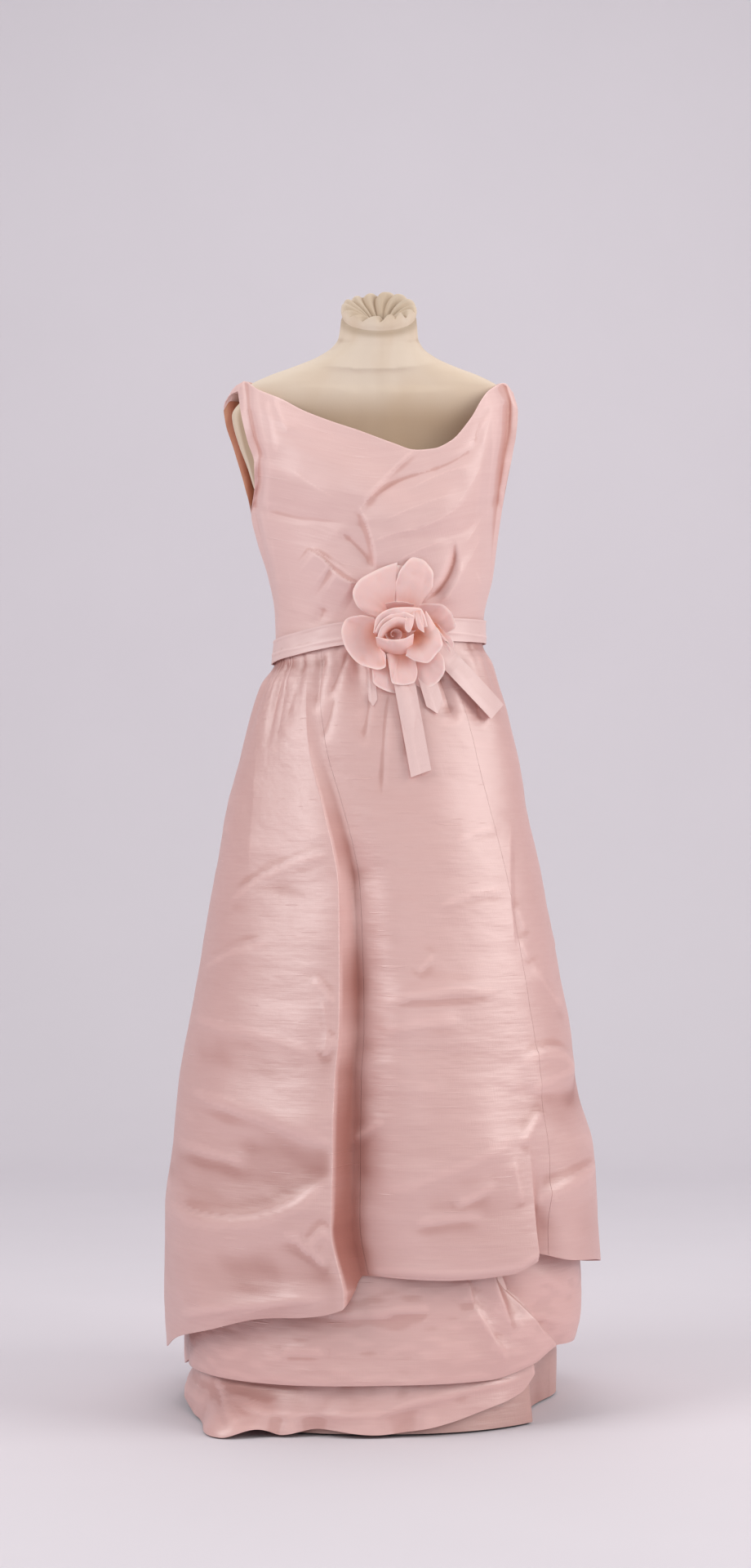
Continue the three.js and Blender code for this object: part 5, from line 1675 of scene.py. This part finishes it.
# %% Floor and backdrop
def backdrop():
    """A profile that runs along the floor, round a quarter circle of 1.2 m and up, swept sideways. The
    paper can't be seen from behind."""
    turn = np.linspace(0, np.pi / 2, 24)
    bend = np.stack([2.6 + 1.2 * np.sin(turn), 1.2 - 1.2 * np.cos(turn)], axis=1)
    profile = np.concatenate([[[-16, 0], [0, 0]], bend, [[3.8, 6]]])
    sides = np.array([-14.0, 14.0])
    grid = np.stack(
        [
            np.broadcast_to(sides, (len(profile), 2)),
            np.broadcast_to(profile[:, :1], (len(profile), 2)),
            np.broadcast_to(profile[:, 1:], (len(profile), 2)),
        ],
        axis=-1,
    )
    index = np.arange(len(profile) * 2).reshape(-1, 2)
    faces = np.stack([index[:-1, 0], index[:-1, 1], index[1:, 1], index[1:, 0]], axis=1)
    mesh = bpy.data.meshes.new("backdrop")
    mesh.from_pydata(grid.reshape(-1, 3).tolist(), [], faces.tolist())
    mesh.polygons.foreach_set("use_smooth", np.ones(len(mesh.polygons), bool))
    thing = bpy.data.objects.new("backdrop", mesh)
    bpy.context.scene.collection.objects.link(thing)
    paper = Finish("paper")
    place = paper.node("ShaderNodeTexCoord", output=3)
    grain = paper.noise(place, 3, 3)
    behind = paper.node("ShaderNodeNewGeometry", output=6)
    paper.wear(
        Alpha=1 - behind,
        Base_Color=paper.blend(grain, shade(230, 225, 231), shade(234, 229, 235)),
        Roughness=0.85 + 0.05 * grain,
    )
    mesh.materials.append(paper.material)
    return thing


HALF, UNDER = 30.0, -0.003


def far_floor(finish):
    """A wide plain square just under the paper, so that the floor goes on past the wall."""
    mesh = bpy.data.meshes.new("far_floor")
    corners = [(x * HALF, y * HALF, UNDER) for x, y in ((-1, -1), (1, -1), (1, 1), (-1, 1))]
    mesh.from_pydata(corners, [], [(0, 1, 2, 3)])
    mesh.materials.append(finish)
    thing = bpy.data.objects.new("far_floor", mesh)
    bpy.context.scene.collection.objects.link(thing)


far_floor(backdrop().data.materials[0])
print("the floor reaches", HALF, "m each way")


# %% Lights
def softbox(name, place, aim, size, power, tint):
    """A square area light at a place, turned to face a point."""
    lamp = bpy.data.lights.new(name, "AREA")
    lamp.size, lamp.energy, lamp.color = size, power, tint
    light = bpy.data.objects.new(name, lamp)
    light.location = place
    way = np.array(aim) - np.array(place)
    light.rotation_euler = (
        math.atan2(math.hypot(way[0], way[1]), -way[2]),
        0,
        math.atan2(way[1], way[0]) - math.pi / 2,
    )
    bpy.context.scene.collection.objects.link(light)


# name, place, aim, size, power, tint
LAMPS = [
    ("key", (-2.9, -1.9, 2.9), (0, 0, 1.0), 2.4, 68, (1.0, 0.99, 0.985)),
    ("fill", (3.4, -1.2, 2.4), (0, 0, 1.0), 2.6, 76, (1.0, 0.97, 0.945)),
    ("front", (0.4, -4.6, 1.9), (0, 0, 0.9), 2.4, 23, (1, 1, 1)),
    ("overhead", (0.2, 0.9, 3.8), (0, 0.9, 0), 2.6, 36, (1, 1, 1)),
]
for row in LAMPS:
    softbox(*row)
print("lights:", [light.name for light in bpy.data.lights])
bpy.context.scene.view_settings.view_transform = "Standard"
world = bpy.data.worlds.new("studio")
world.use_nodes = True
world.node_tree.nodes["Background"].inputs["Color"].default_value = (0.96, 0.935, 0.97, 1)
world.node_tree.nodes["Background"].inputs["Strength"].default_value = 0.32
bpy.context.scene.world = world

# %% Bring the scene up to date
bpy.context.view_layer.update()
